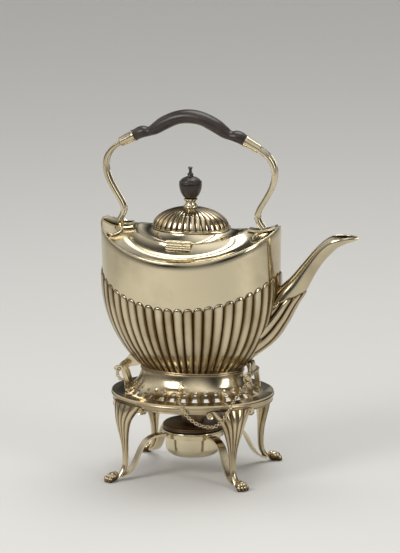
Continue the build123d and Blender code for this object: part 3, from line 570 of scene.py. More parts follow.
def oval_rings(outer: Callable[[float], Point], inner: Callable[[float], Point],
               outline: Callable[[float, float], Stations], count: int) -> list[Ring]:
    """Rings of a wall that runs between two ovals and changes with the angle.

    Args:
        outer: The outer oval at an angle.
        inner: The inner oval at an angle.
        outline: From the angle and the reach inwards, the wall's outline as distance in and height.
        count: How many points go round.

    Returns:
        One ring for each point of the outline.
    """
    columns = []
    for angle in turns(count):
        start = oval_point(outer(angle), angle)
        inward = oval_point(inner(angle), angle) - start
        along = inward.normalized()
        columns.append([start + along * run + UP * height for run, height in outline(angle, inward.length)])
    return [list(ring) for ring in zip(*columns)]


def oval_band(oval: Point, outline: Stations, count: int, tarnish_and_shade: float = 0.0) -> bmesh.types.BMesh:
    """A closed band with the same outline all round an oval.

    Args:
        oval: Half length and half width of its outside.
        outline: The band's outline as distance in and height.
        count: How many points go round.
        tarnish_and_shade: How much tarnishing and painted shade darken it, from 0 to 1.

    Returns:
        The band.
    """
    rings = oval_rings(lambda _a: oval, lambda _a: grown(oval, -5), lambda _a, _reach: outline, count)
    return skin(rings, closed=True, tarnish_and_shade=tarnish_and_shade)


def add_wall(made: bpy.types.Object, thickness: float) -> None:
    """Gives an open shell its wall, inwards, in millimetres."""
    wall = made.modifiers.new("wall", "SOLIDIFY")
    wall.thickness, wall.offset = thickness * MM, -1.0


@dataclass
class KettleShape:
    """The kettle's body: a reeded bowl under a plain boat-shaped wall, in millimetres."""

    belly: Point = (83.0, 61.0)
    rim_oval: Point = (84.0, 62.0)
    base: Point = (48.2, 33.5)
    base_height: float = 100.7
    shoulder_height: float = 184.0
    belly_power: float = 2.35
    wall: float = 1.3
    rim_height: float = 235.2
    rim_dip: float = 25.3
    rim_bead: float = 0.9
    flute_height: float = 193.0
    flute_dip: float = 26.0
    flutes: int = 48
    flute_depth: float = 1.4
    groove_depth: float = 0.7
    points_per_flute: int = 12
    tip_drops: Sequence[float] = (5.6, 4.6, 3.6, 2.8, 2.1, 1.5, 1.0, 0.6, 0.3, 0.1, 0.0, -0.3, -0.8)
    tip_sink: float = 0.25
    browned_height: float = 42.0
    foot_height: float = 97.0
    foot_width: float = 2.4
    foot_overhang: float = 0.6

    def oval(self, height: float, inset: float = 0.0) -> Point:
        """Half length and half width of the smooth body.

        Args:
            height: The height.
            inset: How far inside the body's surface the oval lies.

        Returns:
            Half length and half width.
        """
        if height >= self.shoulder_height:
            low, high = self.belly, self.rim_oval
            share = (height - self.shoulder_height) / (self.rim_height - self.shoulder_height)
        else:
            low, high = self.base, self.belly
            rise = max(height - self.base_height, 0) / (self.shoulder_height - self.base_height)
            share = 1 - (1 - rise) ** self.belly_power
        length, width = (a + (b - a) * share - inset for a, b in zip(low, high))
        return length, width

    def place(self, angle: float, height: float, inset: float = 0.0) -> Vector:
        """The body's point at an angle and a height, moved in by an inset."""
        return oval_point(self.oval(height, inset), angle) + UP * height

    def rim(self, angle: float) -> float:
        """The rim's height at an angle."""
        return saddle(angle, self.rim_height, self.rim_dip)

    def flute_top(self, angle: float) -> float:
        """The height of the line that the reeds' round ends touch, at an angle."""
        return saddle(angle, self.flute_height, self.flute_dip)

    def half_reed(self) -> float:
        """Half the width of a reed, from the oval's length all round."""
        a, b = self.belly
        return math.pi * (3 * (a + b) - math.sqrt((3 * a + b) * (a + 3 * b))) / self.flutes / 2

    def reed_rows(self, angles: Sequence[float]) -> tuple[list[Ring], list[list[float]]]:
        """The rows of the reeded bowl, up to just above the reeds' round ends.

        Args:
            angles: The angles of each row's points.

        Returns:
            The rings, and how much tarnishing and painted shade darken their points.
        """
        across = round_shares(self.points_per_flute)
        half_reed = self.half_reed()
        shares = [0.0, 0.01, 0.025] + [0.05 + 0.93 * step / 22 for step in range(23)]
        rows = [(share, self.tip_drops[0], half_reed) for share in shares]
        rows += [(1.0, drop, drop) for drop in self.tip_drops]
        rings, shades_and_stains = [], []
        for share, drop, below in rows:
            body = smooth_step(below / 0.25)
            # edge picks the rows at the reeds' round tips, where painted shade draws a dark outline.
            edge = smooth_step(1 - abs(below) / 0.8)
            ring, shade_and_stain = [], []
            for index, angle in enumerate(angles):
                u = across[index % self.points_per_flute]
                top = self.flute_top(angle)
                tip = top - half_reed * (1 - round_height(u))
                rise = share * (tip - drop - self.base_height)
                height = self.base_height + rise
                crown = self.flute_depth * ball_height(u, (top - height) / half_reed)
                groove = self.groove_depth * (1 - round_height(u)) ** 2
                out = (0.3 + 0.7 * smooth_step(rise / 4)) * body * (crown - groove)
                ring.append(self.place(angle, height, -out if below else self.tip_sink))
                lobe = index // self.points_per_flute
                wave = math.sin(2.1 * lobe + 0.06 * height + 1.7 * math.sin(0.9 * lobe))
                browned = 0.35 * smooth_step(1 - rise / self.browned_height)
                streak = 0.14 * body * (1 + wave)
                # Painted shade beside the grooves and round the tips, tarnishing that browns towards the
                # foot, and a darkening that changes from lobe to lobe.
                shade_and_stain.append(min(1.0, 0.9 * body * groove_shade(u) + browned + streak + 0.8 * edge))
            rings.append(ring)
            shades_and_stains.append(shade_and_stain)
        return rings, shades_and_stains

    def build(self) -> None:
        """Builds the bowl and its foot."""
        self.build_body()
        self.build_foot()

    def build_body(self) -> None:
        """Builds the wall: reeds with round ends, the plain band, the rolled rim and the inside."""
        angles = even_angles(self.belly, self.flutes, round_shares(self.points_per_flute))
        rings, shades_and_stains = self.reed_rows(angles)
        for share in (0.05, 0.2, 0.5, 0.8, 0.97):
            ring = []
            for angle in angles:
                low = self.flute_top(angle) + 1.2
                ring.append(self.place(angle, low + share * (self.rim(angle) - 1.4 - low)))
            rings.append(ring)
            shades_and_stains.append([0.0] * len(angles))
        bead = self.rim_bead
        for turn in range(-60, 241, 30):
            roll = math.radians(turn)
            ring = []
            for angle in angles:
                spot = self.place(angle, self.rim(angle), self.wall / 2 + 0.15 - bead * math.cos(roll))
                ring.append(spot + UP * (bead * math.sin(roll) - bead))
            rings.append(ring)
            shades_and_stains.append([0.0] * len(angles))
        floor = self.base_height + self.wall
        for share in (0.97, 0.8, 0.55, 0.35, 0.2, 0.1, 0.04, 0.0):
            rings.append([self.place(angle, floor + share * (self.rim(angle) - 3 - floor), self.wall)
                          for angle in angles])
            shades_and_stains.append([0.4] * len(angles))
        bm = skin(rings, cap_first=True, cap_last=True, tarnish_and_shade=shades_and_stains)
        Piece("bowl_wall", Body.KETTLE, SILVER, ["kettle_body"], 60).finish_mesh(bm)

    def build_foot(self) -> None:
        """Builds the low foot under the bowl: two plain beads, one on the other."""
        low, high = self.foot_height, self.base_height
        middle = (low + high) / 2
        outline = [(self.foot_width, low)] + arc((0.5, low), (0.0, (low + middle) / 2), (0.6, middle), 6)
        outline += arc((0.6, middle), (0.1, (high + middle) / 2), (0.7, high), 6)[1:]
        outline += [(self.foot_width, high)]
        bm = oval_band(grown(self.base, self.foot_overhang), outline, 192, 0.45)
        Piece("beaded_foot", Body.KETTLE, WARM_SILVER).finish_mesh(bm)


@dataclass
class LidShape:
    """The shoulder's trough and the lid that drops into it, in millimetres."""

    kettle: KettleShape
    oval: Point = (51.0, 35.0)
    edge_height: float = 230.8
    dip: float = 9.3
    thickness: float = 1.2
    gap: float = 0.4
    drop: float = 0.25
    flange: float = 2.5
    sag: float = 0.1
    ledge: float = 3.0
    landing: float = 1.6
    skirt: float = 2.6
    shoulder_wall: float = 1.4
    shoulder_sag: float = 0.12
    dome_height: float = 230.2
    dome_rise: float = 19.0
    dome_wall: float = 1.0
    dome_seat: float = 2.4
    dome: Point = (35.0, 25.3)
    dome_flutes: int = 32
    dome_flute_depth: float = 0.9
    dome_groove_depth: float = 0.6
    dome_scallop: float = 2.4
    dome_rows: Sequence[float] = (
        0.0, 0.015, 0.03, 0.05, 0.075, 0.1, 0.13, 0.16, 0.2, 0.25, 0.31, 0.38, 0.46, 0.54, 0.62,
        0.69, 0.75, 0.8, 0.85, 0.89, 0.925, 0.95, 0.97)
    roll_radius: float = 0.55
    roll_offset: float = 1.6
    points_per_flute: int = 12

    def edge(self, angle: float) -> float:
        """The height of the lid's edge at an angle."""
        return saddle(angle, self.edge_height, self.dip)

    def shoulder_outline(self, angle: float, reach: float) -> list[Point]:
        """The shoulder's wall, from the rim through its trough to the ledge and back below.

        Args:
            angle: The angle round the kettle.
            reach: The distance from the rim to the opening.

        Returns:
            Its points as distance in and height.
        """
        rim, inner = self.kettle.rim(angle) - 0.5, self.edge(angle)
        middle = 0.45 * reach
        trough = rim + 0.35 * (inner - rim) - self.shoulder_sag * reach
        land = reach - self.landing
        seat = inner - self.thickness - self.drop
        points = arc((0, rim), (middle, trough), (land, inner), 18)
        points += [(reach - 0.3, inner), (reach, inner - 0.3), (reach, seat), (reach + self.ledge, seat)]
        points += [(reach + self.ledge, seat - 1), (land, seat - 1)]
        return points + arc((land, seat - 1), (middle, trough - self.shoulder_wall),
                            (0, rim - self.skirt), 12)[1:]

    def lid_outline(self, angle: float, reach: float) -> list[Point]:
        """The lid's wall, from its rolled flange through the dish to the dome's seat.

        Args:
            angle: The angle round the lid.
            reach: The distance from the lid's edge to the dome.

        Returns:
            Its points as distance in and height.
        """
        top, seat, under = self.edge(angle), self.dome_height, self.thickness
        middle = (reach + self.flange) / 2
        dish = (top + seat) / 2 - self.sag * reach
        edge = [(0.3, top - under), (0, top - under + 0.3), (0, top - 0.3), (0.3, top), (self.flange, top)]
        upper = arc((self.flange, top), (middle, dish), (reach, seat), 14)[1:]
        inside = [(reach + self.dome_seat, seat), (reach + self.dome_seat, seat - under)]
        lower = arc((reach, seat - under), (middle, dish - under), (self.flange, top - under), 10)
        return edge + upper + inside + lower

    def build(self) -> BVHTree:
        """Builds the shoulder, the lid's plate, the dome and the roll round it.

        Returns:
            The shoulder's surface, for the pieces that stand on it.
        """
        rings = oval_rings(lambda a: self.kettle.oval(self.kettle.rim(a) - self.skirt, self.shoulder_wall),
                           lambda _a: grown(self.oval, self.gap), self.shoulder_outline, 240)
        bm = skin(rings, closed=True)
        surface = BVHTree.FromBMesh(bm)
        Piece("shoulder_trough", Body.KETTLE, SILVER, ["shoulder"], 35).finish_mesh(bm)
        rings = oval_rings(lambda _a: self.oval, lambda _a: self.dome, self.lid_outline, 240)
        Piece("lid_dish", Body.LID, SILVER, ["lid_plate"], 35).finish_mesh(skin(rings, closed=True))
        self.build_dome()
        line = [(self.roll_radius * math.cos(a), self.dome_height + 0.3 + self.roll_radius * math.sin(a))
                for a in turns(8)]
        bm = oval_band(grown(self.dome, self.roll_offset), line, 160)
        Piece("dome_roll", Body.LID, SILVER).finish_mesh(bm)
        return surface

    def build_dome(self) -> None:
        """Builds the reeded dome, whose reeds end in round scallops above the lid."""
        across = round_shares(self.points_per_flute)
        angles = even_angles(self.dome, self.dome_flutes, across)
        rings, shades_and_stains = [], []
        for share in self.dome_rows:
            scale_in = math.sqrt(1 - share ** 2)
            rise = share * self.dome_rise
            lift = rise / self.dome_scallop
            fade = scale_in * (1 - smooth_step((share - 0.9) / 0.07) * 0.8)
            ring, shade_and_stain = [], []
            for index, angle in enumerate(angles):
                u = across[index % self.points_per_flute]
                out = self.dome_flute_depth * fade * ball_height(u, lift)
                out -= self.dome_groove_depth * smooth_step(lift) * fade * (1 - round_height(u)) ** 2
                oval = grown((self.dome[0] * scale_in, self.dome[1] * scale_in), out)
                ring.append(oval_point(oval, angle) + UP * (self.dome_height + rise))
                # Painted shade beside the dome's grooves, above the scallops.
                shade_and_stain.append(smooth_step(lift) * groove_shade(u))
            rings.append(ring)
            shades_and_stains.append(shade_and_stain)
        bm = skin(rings, cap_last=True, tarnish_and_shade=shades_and_stains)
        made = Piece("reeded_dome", Body.LID, SILVER, ["lid_dome"], 70).finish_mesh(bm)
        add_wall(made, self.dome_wall)


@dataclass
class FinialShape:
    """The silver foot and the dark wooden urn on the dome, in millimetres."""

    foot: float = 248.63
    screw: float = 1.5
    foot_rise: float = 8.2
    clearance: float = 0.05

    def build(self) -> None:
        """Turns the foot with its beads, and the urn with its cap and tip."""
        z, screw, rise = self.foot, self.screw, self.foot_rise
        base = [(0, -5.2), (screw, -5.2), (screw, 0), (6.4, 0), (6.8, 0.4), (6.8, 1.2), (6.4, 1.7)]
        base += smooth_line([(6.0, 1.8), (5.1, 3.1), (4.6, 5.0), (5.6, 6.6)], 4)
        base += [(6.2, 6.9), (6.4, 7.6), (6.0, rise), (screw, rise), (screw, 20), (0, 20)]
        bm = turned([(radius, z + height) for radius, height in base])
        Piece("finial_foot", Body.LID, SILVER, ["finial_base"]).finish_mesh(bm)
        urn = [(screw + self.clearance, 0), (4.6, 0)]
        urn += smooth_line([(4.9, 0.3), (7.4, 3), (9.4, 7), (10.3, 11.2), (10.35, 13.8)], 5)
        urn += [(9.8, 14.2), (10.3, 14.6), (10.4, 15.2), (10.0, 15.8), (9.3, 16.2)]
        urn += [(8.9, 17.2), (7.9, 17.5), (7.9, 18.1)]
        urn += smooth_line([(7.2, 18.5), (5.2, 19.6), (3.2, 20.4), (2.3, 21.8)], 4)
        urn += [(2.9, 22.4), (2.6, 23.2), (1.5, 23.8), (1.3, 26.2), (1.7, 27.6)]
        urn += [(2.3, 28.7), (1.4, 29.3), (0, 29.5)]
        bm = turned([(radius, z + rise + self.clearance + height) for radius, height in urn])
        Piece("finial_urn", Body.LID, DARK_WOOD, ["finial"], 50).finish_mesh(bm)


@dataclass
class SpoutShape:
    """The spout, as stations down its middle line: x, height, tilt, depth and width."""

    stations: Stations = (
        (40.0, 121.0, 42, 36.0, 34.0), (66.0, 139.0, 42, 33.0, 31.0), (80.8, 154.8, 48, 27.0, 25.0),
        (92.0, 171.0, 48, 22.5, 20.0), (102.3, 183.5, 49, 18.6, 16.5), (112.3, 198.3, 49, 15.0, 14.0),
        (121.2, 210.0, 46, 13.6, 13.4), (129.5, 218.6, 37, 13.4, 15.0), (137.3, 224.2, 20, 12.0, 17.4),
        (146.5, 227.0, 6, 9.0, 16.0), (154.0, 228.0, 2, 5.5, 10.0), (159.8, 228.3, 0, 1.2, 2.4))
    mouth_height: float = 229.4
    wall: float = 1.0
    reeds: int = 12
    reed_depth: float = 1.7
    groove_depth: float = 0.7
    reed_sink: float = 0.4
    reed_line: Point = (76.0, 161.5)
    reed_slope: float = 0.465
    points_per_reed: int = 12

    def build(self) -> None:
        """Builds the bent tube, reeded below a slanting line and open behind its lip."""
        across = round_shares(self.points_per_reed)
        line_x, line_height = self.reed_line
        rings, shades_and_stains = [], []
        for station in smooth_line(self.stations, 14):
            half_reed = math.pi * (station[3] + station[4]) / 4 / self.reeds
            ring, shade_and_stain = [], []
            for index in range(self.reeds * self.points_per_reed):
                u = across[index % self.points_per_reed]
                angle = FULL_TURN * (index // self.points_per_reed + u) / self.reeds
                smooth = tilted_point(station, angle)
                top = line_height + self.reed_slope * (smooth.x - line_x)
                below = (top - smooth.z) / (1.15 * half_reed)
                rise = smooth_step(below / 0.3)
                out = self.reed_depth * ball_height(u, below) - self.reed_sink * rise
                out -= self.groove_depth * rise * (1 - round_height(u)) ** 2
                ring.append(tilted_point(station, angle, out))
                # Painted shade beside the grooves and round each reed's round end, over a faint even
                # darkening.
                edge = smooth_step(1 - abs(below - 1 + round_height(u)) / 0.35)
                shade_and_stain.append(min(1.0, 0.9 * rise * groove_shade(u) + 0.7 * edge + 0.08))
            rings.append(ring)
            shades_and_stains.append(shade_and_stain)
        bm = skin(rings, cap_last=True, tarnish_and_shade=shades_and_stains)
        cut_off(bm, self.mouth_height, 1)
        made = Piece("reeded_spout", Body.KETTLE, SILVER, ["spout"], 60).finish_mesh(bm)
        add_wall(made, self.wall)


@dataclass
class HandleShape:
    """The grip, the bracket's forked feet and ribs, and the hinge's ridges, in millimetres.

    Attributes:
        surface: The shoulder's surface, which the forks stand on.
        grip: Stations from an end to the middle: x, height, tilt, depth and width.
        fork: Each fork's arm, as x and y.
        rib: Each rib, as x and height.
        rib_offset: How far each rib stands from the bracket's middle.
        ridges: The name and the height of each ridge on the hinge.
    """

    surface: BVHTree
    grip: Stations = (
        (-52.4, 313.1, 28, 10.0, 10.0), (-50.6, 314.2, 26, 10.4, 10.9), (-47.4, 315.9, 18, 10.9, 12.2),
        (-43.5, 316.9, 8, 10.6, 12.5), (-38.5, 317.4, 14, 8.6, 10.5), (-32.5, 320.4, 30, 11.0, 12.5),
        (-24.0, 325.9, 32, 12.6, 14.0), (-12.0, 331.4, 14, 12.4, 15.0), (0.0, 333.1, 0, 12.8, 15.0))
    fork: Stations = ((68.4, 1.0), (64.6, 6.5), (62.6, 13.5), (64.0, 20.6), (67.8, 26.4), (71.6, 28.2))
    rib: Stations = (
        (66.0, 305.9), (74.0, 299.7), (79.0, 291.6), (80.1, 281.9), (77.4, 271.4), (71.9, 261.0),
        (66.1, 251.3), (63.6, 244.4), (65.1, 238.3), (69.2, 232.4))
    fork_radius: float = 2.0
    fork_flat: float = 0.6
    rib_offset: float = 3.9
    rib_radius: float = 1.0
    rib_flat: float = 2.1
    ridge_radius: float = 1.0
    ridge_half_length: float = 11.7
    ridge_front: float = -40.5
    ridges: Sequence[tuple[str, float]] = (("upper", 221.9), ("middle", 219.9), ("lower", 217.9))

    def add_rod(self, name: str, line: Sequence[Vector], radius: float, flat: float = 1.0,
                segments: int = 12) -> None:
        """Builds one silver rod along its middle line."""
        bm = skin(tube(line, radius, flat, segments), cap_first=True, cap_last=True)
        Piece(name, Body.KETTLE, SILVER).finish_mesh(bm)

    def build(self) -> None:
        """Builds the carved grip, waisted near both ends, and the rods."""
        mirrored = [(-x, height, -tilt, depth, width)
                    for x, height, tilt, depth, width in self.grip[-2::-1]]
        rings = [[tilted_point(station, angle) for angle in turns(48)]
                 for station in smooth_line(list(self.grip) + mirrored, 5)]
        bm = skin(rings, cap_first=True, cap_last=True)
        Piece("wooden_grip", Body.KETTLE, DARK_WOOD, ["grip"]).finish_mesh(bm)
        for name, side, hand in QUARTERS:
            line = []
            for x, y in smooth_line(self.fork, 6):
                above = Vector((side * x, hand * y, 260))
                hit = self.surface.ray_cast(above, -UP)[0]
                line.append(Vector((above.x, above.y, hit.z + 0.6)))
            self.add_rod(f"fork_{name}", line, self.fork_radius, self.fork_flat, 16)
        for name, side, hand in QUARTERS:
            line = [Vector((side * x, hand * self.rib_offset, z)) for x, z in smooth_line(self.rib, 6)]
            self.add_rod(f"bracket_rib_{name}", line, self.rib_radius, self.rib_flat)
        for name, height in self.ridges:
            half = self.ridge_half_length
            spots = (-half, 0.3 - half, 0.0, half - 0.3, half)
            line = [Vector((x, self.ridge_front, height)) for x in spots]
            self.add_rod(f"hinge_ridge_{name}", line, self.ridge_radius)


@dataclass
class StandShape:
    """The stand's mouldings, legs and paws, in millimetres.

    Attributes:
        plate: Half length and half width of the oval plate.
        plate_height: The height of its upper face.
        foot: Where the front right paw stands, as distances along X and Y.
        leg: Stations down a leg: height, reach from the axis, depth and width.
        moulding_edges: How far the moulding's lower and upper edges lie below the plate's top.
        leg_reeds: How many reeds fan out over a knee.
        reed_depth: How high the reeds stand.
        reed_sink: How far their grooves lie inside the leg's plain section.
        reed_end: The height at which the reeds have faded out.
        reed_fade: Over what height they fade.
        knee_bow: How strongly a knee bends round the plate's corner.
        scroll_turn: How far each scroll stands from its knee, in degrees round the plate.
        scroll_height: The height of a scroll's middle.
        toes: How far each toe stands from the paw's middle line.
    """

    plate: Point = (75.0, 62.5)
    plate_height: float = 77.3
    moulding_edges: Point = (5.1, 1.5)
    foot: Point = (61.5, 55.1)
    leg: Stations = (
        (72.1, 66.0, 11.2, 41.0), (66.0, 68.5, 10.0, 33.0), (57.0, 70.6, 8.0, 22.6),
        (47.0, 70.4, 6.4, 15.6), (35.0, 69.2, 5.4, 9.2), (22.0, 68.6, 5.0, 6.6), (12.0, 69.8, 5.0, 6.0),
        (4.0, 75.0, 5.6, 6.4))
    leg_reeds: int = 5
    reed_depth: float = 1.1
    reed_sink: float = 0.9
    reed_end: float = 14.0
    reed_fade: float = 20.0
    knee_bow: float = 0.0036
    scroll_turn: float = 16.8
    scroll_height: float = 68.2
    toes: Sequence[float] = (-4.5, -1.55, 1.55, 4.5)

    def corners(self) -> list[tuple[str, float, float, float]]:
        """Each leg's name, its sign along X and Y, and its knee's parameter angle."""
        knee = math.atan2(self.foot[1] / self.plate[1], self.foot[0] / self.plate[0])
        return [("back_right", 1, 1, knee), ("back_left", -1, 1, math.pi - knee),
                ("front_left", -1, -1, math.pi + knee), ("front_right", 1, -1, -knee)]

    def facing(self, angle: float) -> Vector:
        """The outward direction, square to the plate's edge."""
        edge = oval_point(self.plate, angle)
        return Vector((edge.x / self.plate[0] ** 2, edge.y / self.plate[1] ** 2, 0)).normalized()

    def build(self) -> None:
        """Builds the moulding, the apron, the legs with their scrolls, and the paws."""
        low, high = (self.plate_height - below for below in self.moulding_edges)
        moulding = arc((0.5, high), (0.0, high - 1.0), (0.6, high - 2.1), 6)
        moulding += [(1.2, high - 2.2), (1.3, low), (2.6, low), (2.6, high)]
        bm = oval_band(grown(self.plate, 0.8), moulding, 240, 0.25)
        Piece("rolled_moulding", Body.STAND, WARM_SILVER, ["plate_moulding"]).finish_mesh(bm)
        apron = [(0.4, low)] + arc((0.4, low - 2.2), (0, low - 2.8), (0.5, low - 3.4), 5)
        apron += [(1.2, low - 3.4), (1.2, low)]
        bm = oval_band(grown(self.plate, -0.6), apron, 240, 0.35)
        Piece("apron_band", Body.STAND, WARM_SILVER, ["apron"]).finish_mesh(bm)
        for name, way_x, way_y, knee in self.corners():
            self.build_leg(name, way_x, way_y, knee)
            for word, way in (("a", -1), ("b", 1)):
                self.build_scroll(f"scroll_{name}_{word}", knee + math.radians(way * self.scroll_turn))
        for name, way_x, way_y, _knee in self.corners():
            self.build_paw(name, way_x * self.foot[0], way_y * self.foot[1])

    def build_leg(self, name: str, way_x: float, way_y: float, knee: float) -> None:
        """Builds a leg: a fan of reeds that narrows to a shank.

        Args:
            name: The leg's name.
            way_x: Its sign along X.
            way_y: Its sign along Y.
            knee: Its knee's parameter angle.
        """
        base = math.atan2(self.foot[1], self.foot[0])
        facing = self.facing(knee)
        along = Vector((-facing.y, facing.x, 0))
        radial = Vector((way_x * math.cos(base), way_y * math.sin(base), 0))
        rings, shades_and_stains = [], []
        for height, reach, depth, width in smooth_line(self.leg, 7):
            centre = radial * reach + UP * height
            fade = smooth_step((height - self.reed_end) / self.reed_fade)
            ring, shade_and_stain = [], []
            for angle in turns(120):
                across = math.sin(angle)
                front = smooth_step((math.cos(angle) + 0.25) / 0.5)
                u = ((across + 1) / 2 * self.leg_reeds) % 1.0
                relief = self.reed_depth * round_height(u) - self.reed_sink
                out = relief * fade * front * min(depth / 8, 1.0)
                bow = self.knee_bow * (across * width / 2) ** 2
                ring.append(centre + facing * ((depth / 2 + out) * math.cos(angle) - bow)
                            + along * (width / 2 * across))
                # Painted shade beside the grooves of the knee's reeds, over a faint even darkening.
                shade_and_stain.append(min(1.0, 0.05 + 0.85 * front * fade * groove_shade(u)))
            rings.append(ring)
            shades_and_stains.append(shade_and_stain)
        bm = skin(rings, cap_first=True, cap_last=True, tarnish_and_shade=shades_and_stains)
        Piece(f"reeded_leg_{name}", Body.STAND, WARM_SILVER, [f"leg_{name}"], 70).finish_mesh(bm)

    def build_scroll(self, name: str, angle: float) -> None:
        """Builds a rolled scroll on the plate's edge, beside a knee.

        Args:
            name: The piece's name.
            angle: Its parameter angle.
        """
        facing = self.facing(angle)
        edge = oval_point(self.plate, angle) + facing * 0.8 + UP * self.scroll_height
        bm = bmesh.new()
        bmesh.ops.create_cone(bm, cap_ends=True, segments=40, radius1=3.8, radius2=3.4, depth=5.4)
        bmesh.ops.translate(bm, verts=bm.verts, vec=(0, 0, -2.7))
        face = max(bm.faces, key=lambda f: f.calc_center_median().z)
        for inset, push in ((0.9, -0.7), (0.9, 0.0), (0.5, 0.9)):
            bmesh.ops.inset_region(bm, faces=[face], thickness=inset, depth=push)
        turn_out = UP.rotation_difference(facing).to_matrix().to_4x4()
        bmesh.ops.transform(bm, matrix=Matrix.Translation(edge) @ turn_out, verts=bm.verts)
        Piece(name, Body.STAND, WARM_SILVER, sharp_angle=30).finish_mesh(bm)

    def build_paw(self, name: str, x: float, y: float) -> None:
        """Builds a lion's paw: an instep, four toes with knuckles, and claws.

        Args:
            name: The leg's name.
            x: Where the paw stands along X.
            y: Where the paw stands along Y.
        """
        balls = [((-0.8, 0, 4.4), (5.4, 4.9, 4.3)), ((-3.4, 0, 5.6), (3.0, 3.2, 3.6))]
        for offset in self.toes:
            lean = abs(offset) > 3
            balls.append(((2.4 - 0.8 * lean, offset * 0.82, 4.8 - 0.6 * lean), (3.0, 1.7, 2.8)))
            balls.append(((4.5 - 1.1 * lean, offset, 2.5), (2.2, 1.7, 2.5)))
            balls.append(((6.2 - 1.2 * lean, offset, 1.1), (0.8, 0.6, 1.1)))
        bm = bmesh.new()
        layer = bm.verts.layers.float.new("tarnish_and_shade")
        for centre, size in balls:
            made = bmesh.ops.create_uvsphere(bm, u_segments=20, v_segments=12, radius=1.0)["verts"]
            for vert in made:
                # Painted shade: each ball is darker towards its underside.
                vert[layer] = 0.15 + 0.85 * smooth_step(0.75 - vert.co.z)
            bmesh.ops.scale(bm, verts=made, vec=size)
            bmesh.ops.translate(bm, verts=made, vec=centre)
        bmesh.ops.transform(bm, matrix=Matrix.Rotation(math.atan2(y, x), 4, "Z"), verts=bm.verts)
        bmesh.ops.translate(bm, verts=bm.verts, vec=(x, y, 0))
        cut_off(bm, 0.0, -1)
        bmesh.ops.holes_fill(bm, edges=[e for e in bm.edges if e.is_boundary])
        Piece(f"lion_paw_{name}", Body.STAND, WARM_SILVER, [f"paw_{name}"], 60).finish_mesh(bm)


@dataclass
class LugShape:
    """The wide lug at the spout end: a knuckled barrel under a web that tapers up to the bowl.

    Attributes:
        barrel: The barrel's axis, as x and height.
        radius: Its radius.
        half_width: Half its length.
        knuckles: How many knuckles it has.
        knuckle: Each knuckle's outline, as shares of its length and of the radius.
        web: Stations up the web: x, height, half thickness and half width.
    """

    barrel: Point = (57.0, 97.2)
    radius: float = 2.9
    half_width: float = 11.0
    knuckles: int = 5
    knuckle: Stations = ((0.02, 0.84), (0.1, 0.97), (0.2, 1.0), (0.8, 1.0), (0.9, 0.97), (0.98, 0.84))
    web: Stations = (
        (57.0, 97.6, 2.3, 10.4), (56.8, 99.8, 2.1, 9.6), (56.4, 102.0, 2.3, 8.4), (55.8, 104.6, 3.0, 7.6),
        (54.6, 107.0, 3.6, 7.2))

    def build(self) -> None:
        """Builds the barrel with a groove between its knuckles, and the web over it."""
        rings = []
        pitch = 2 * self.half_width / self.knuckles
        for knuckle in range(self.knuckles):
            low = knuckle * pitch - self.half_width
            for share, size in self.knuckle:
                radius = size * self.radius
                rings.append([Vector((self.barrel[0] + radius * math.cos(a), low + share * pitch,
                                      self.barrel[1] + radius * math.sin(a))) for a in turns(32)])
        bm = skin(rings, cap_first=True, cap_last=True, tarnish_and_shade=0.35)
        Piece("knuckled_barrel", Body.KETTLE, WARM_SILVER, ["pivot_barrel"]).finish_mesh(bm)
        rings = []
        for x, z, thick, wide in smooth_line(self.web, 4):
            sides = [(math.sin(a), math.cos(a)) for a in turns(40)]
            rings.append([Vector((x + math.copysign(abs(out) ** 0.6, out) * thick,
                                  math.copysign(abs(along) ** 0.6, along) * wide, z))
                          for out, along in sides])
        bm = skin(rings, cap_first=True, cap_last=True, tarnish_and_shade=0.3)
        Piece("lug_web", Body.KETTLE, WARM_SILVER).finish_mesh(bm)


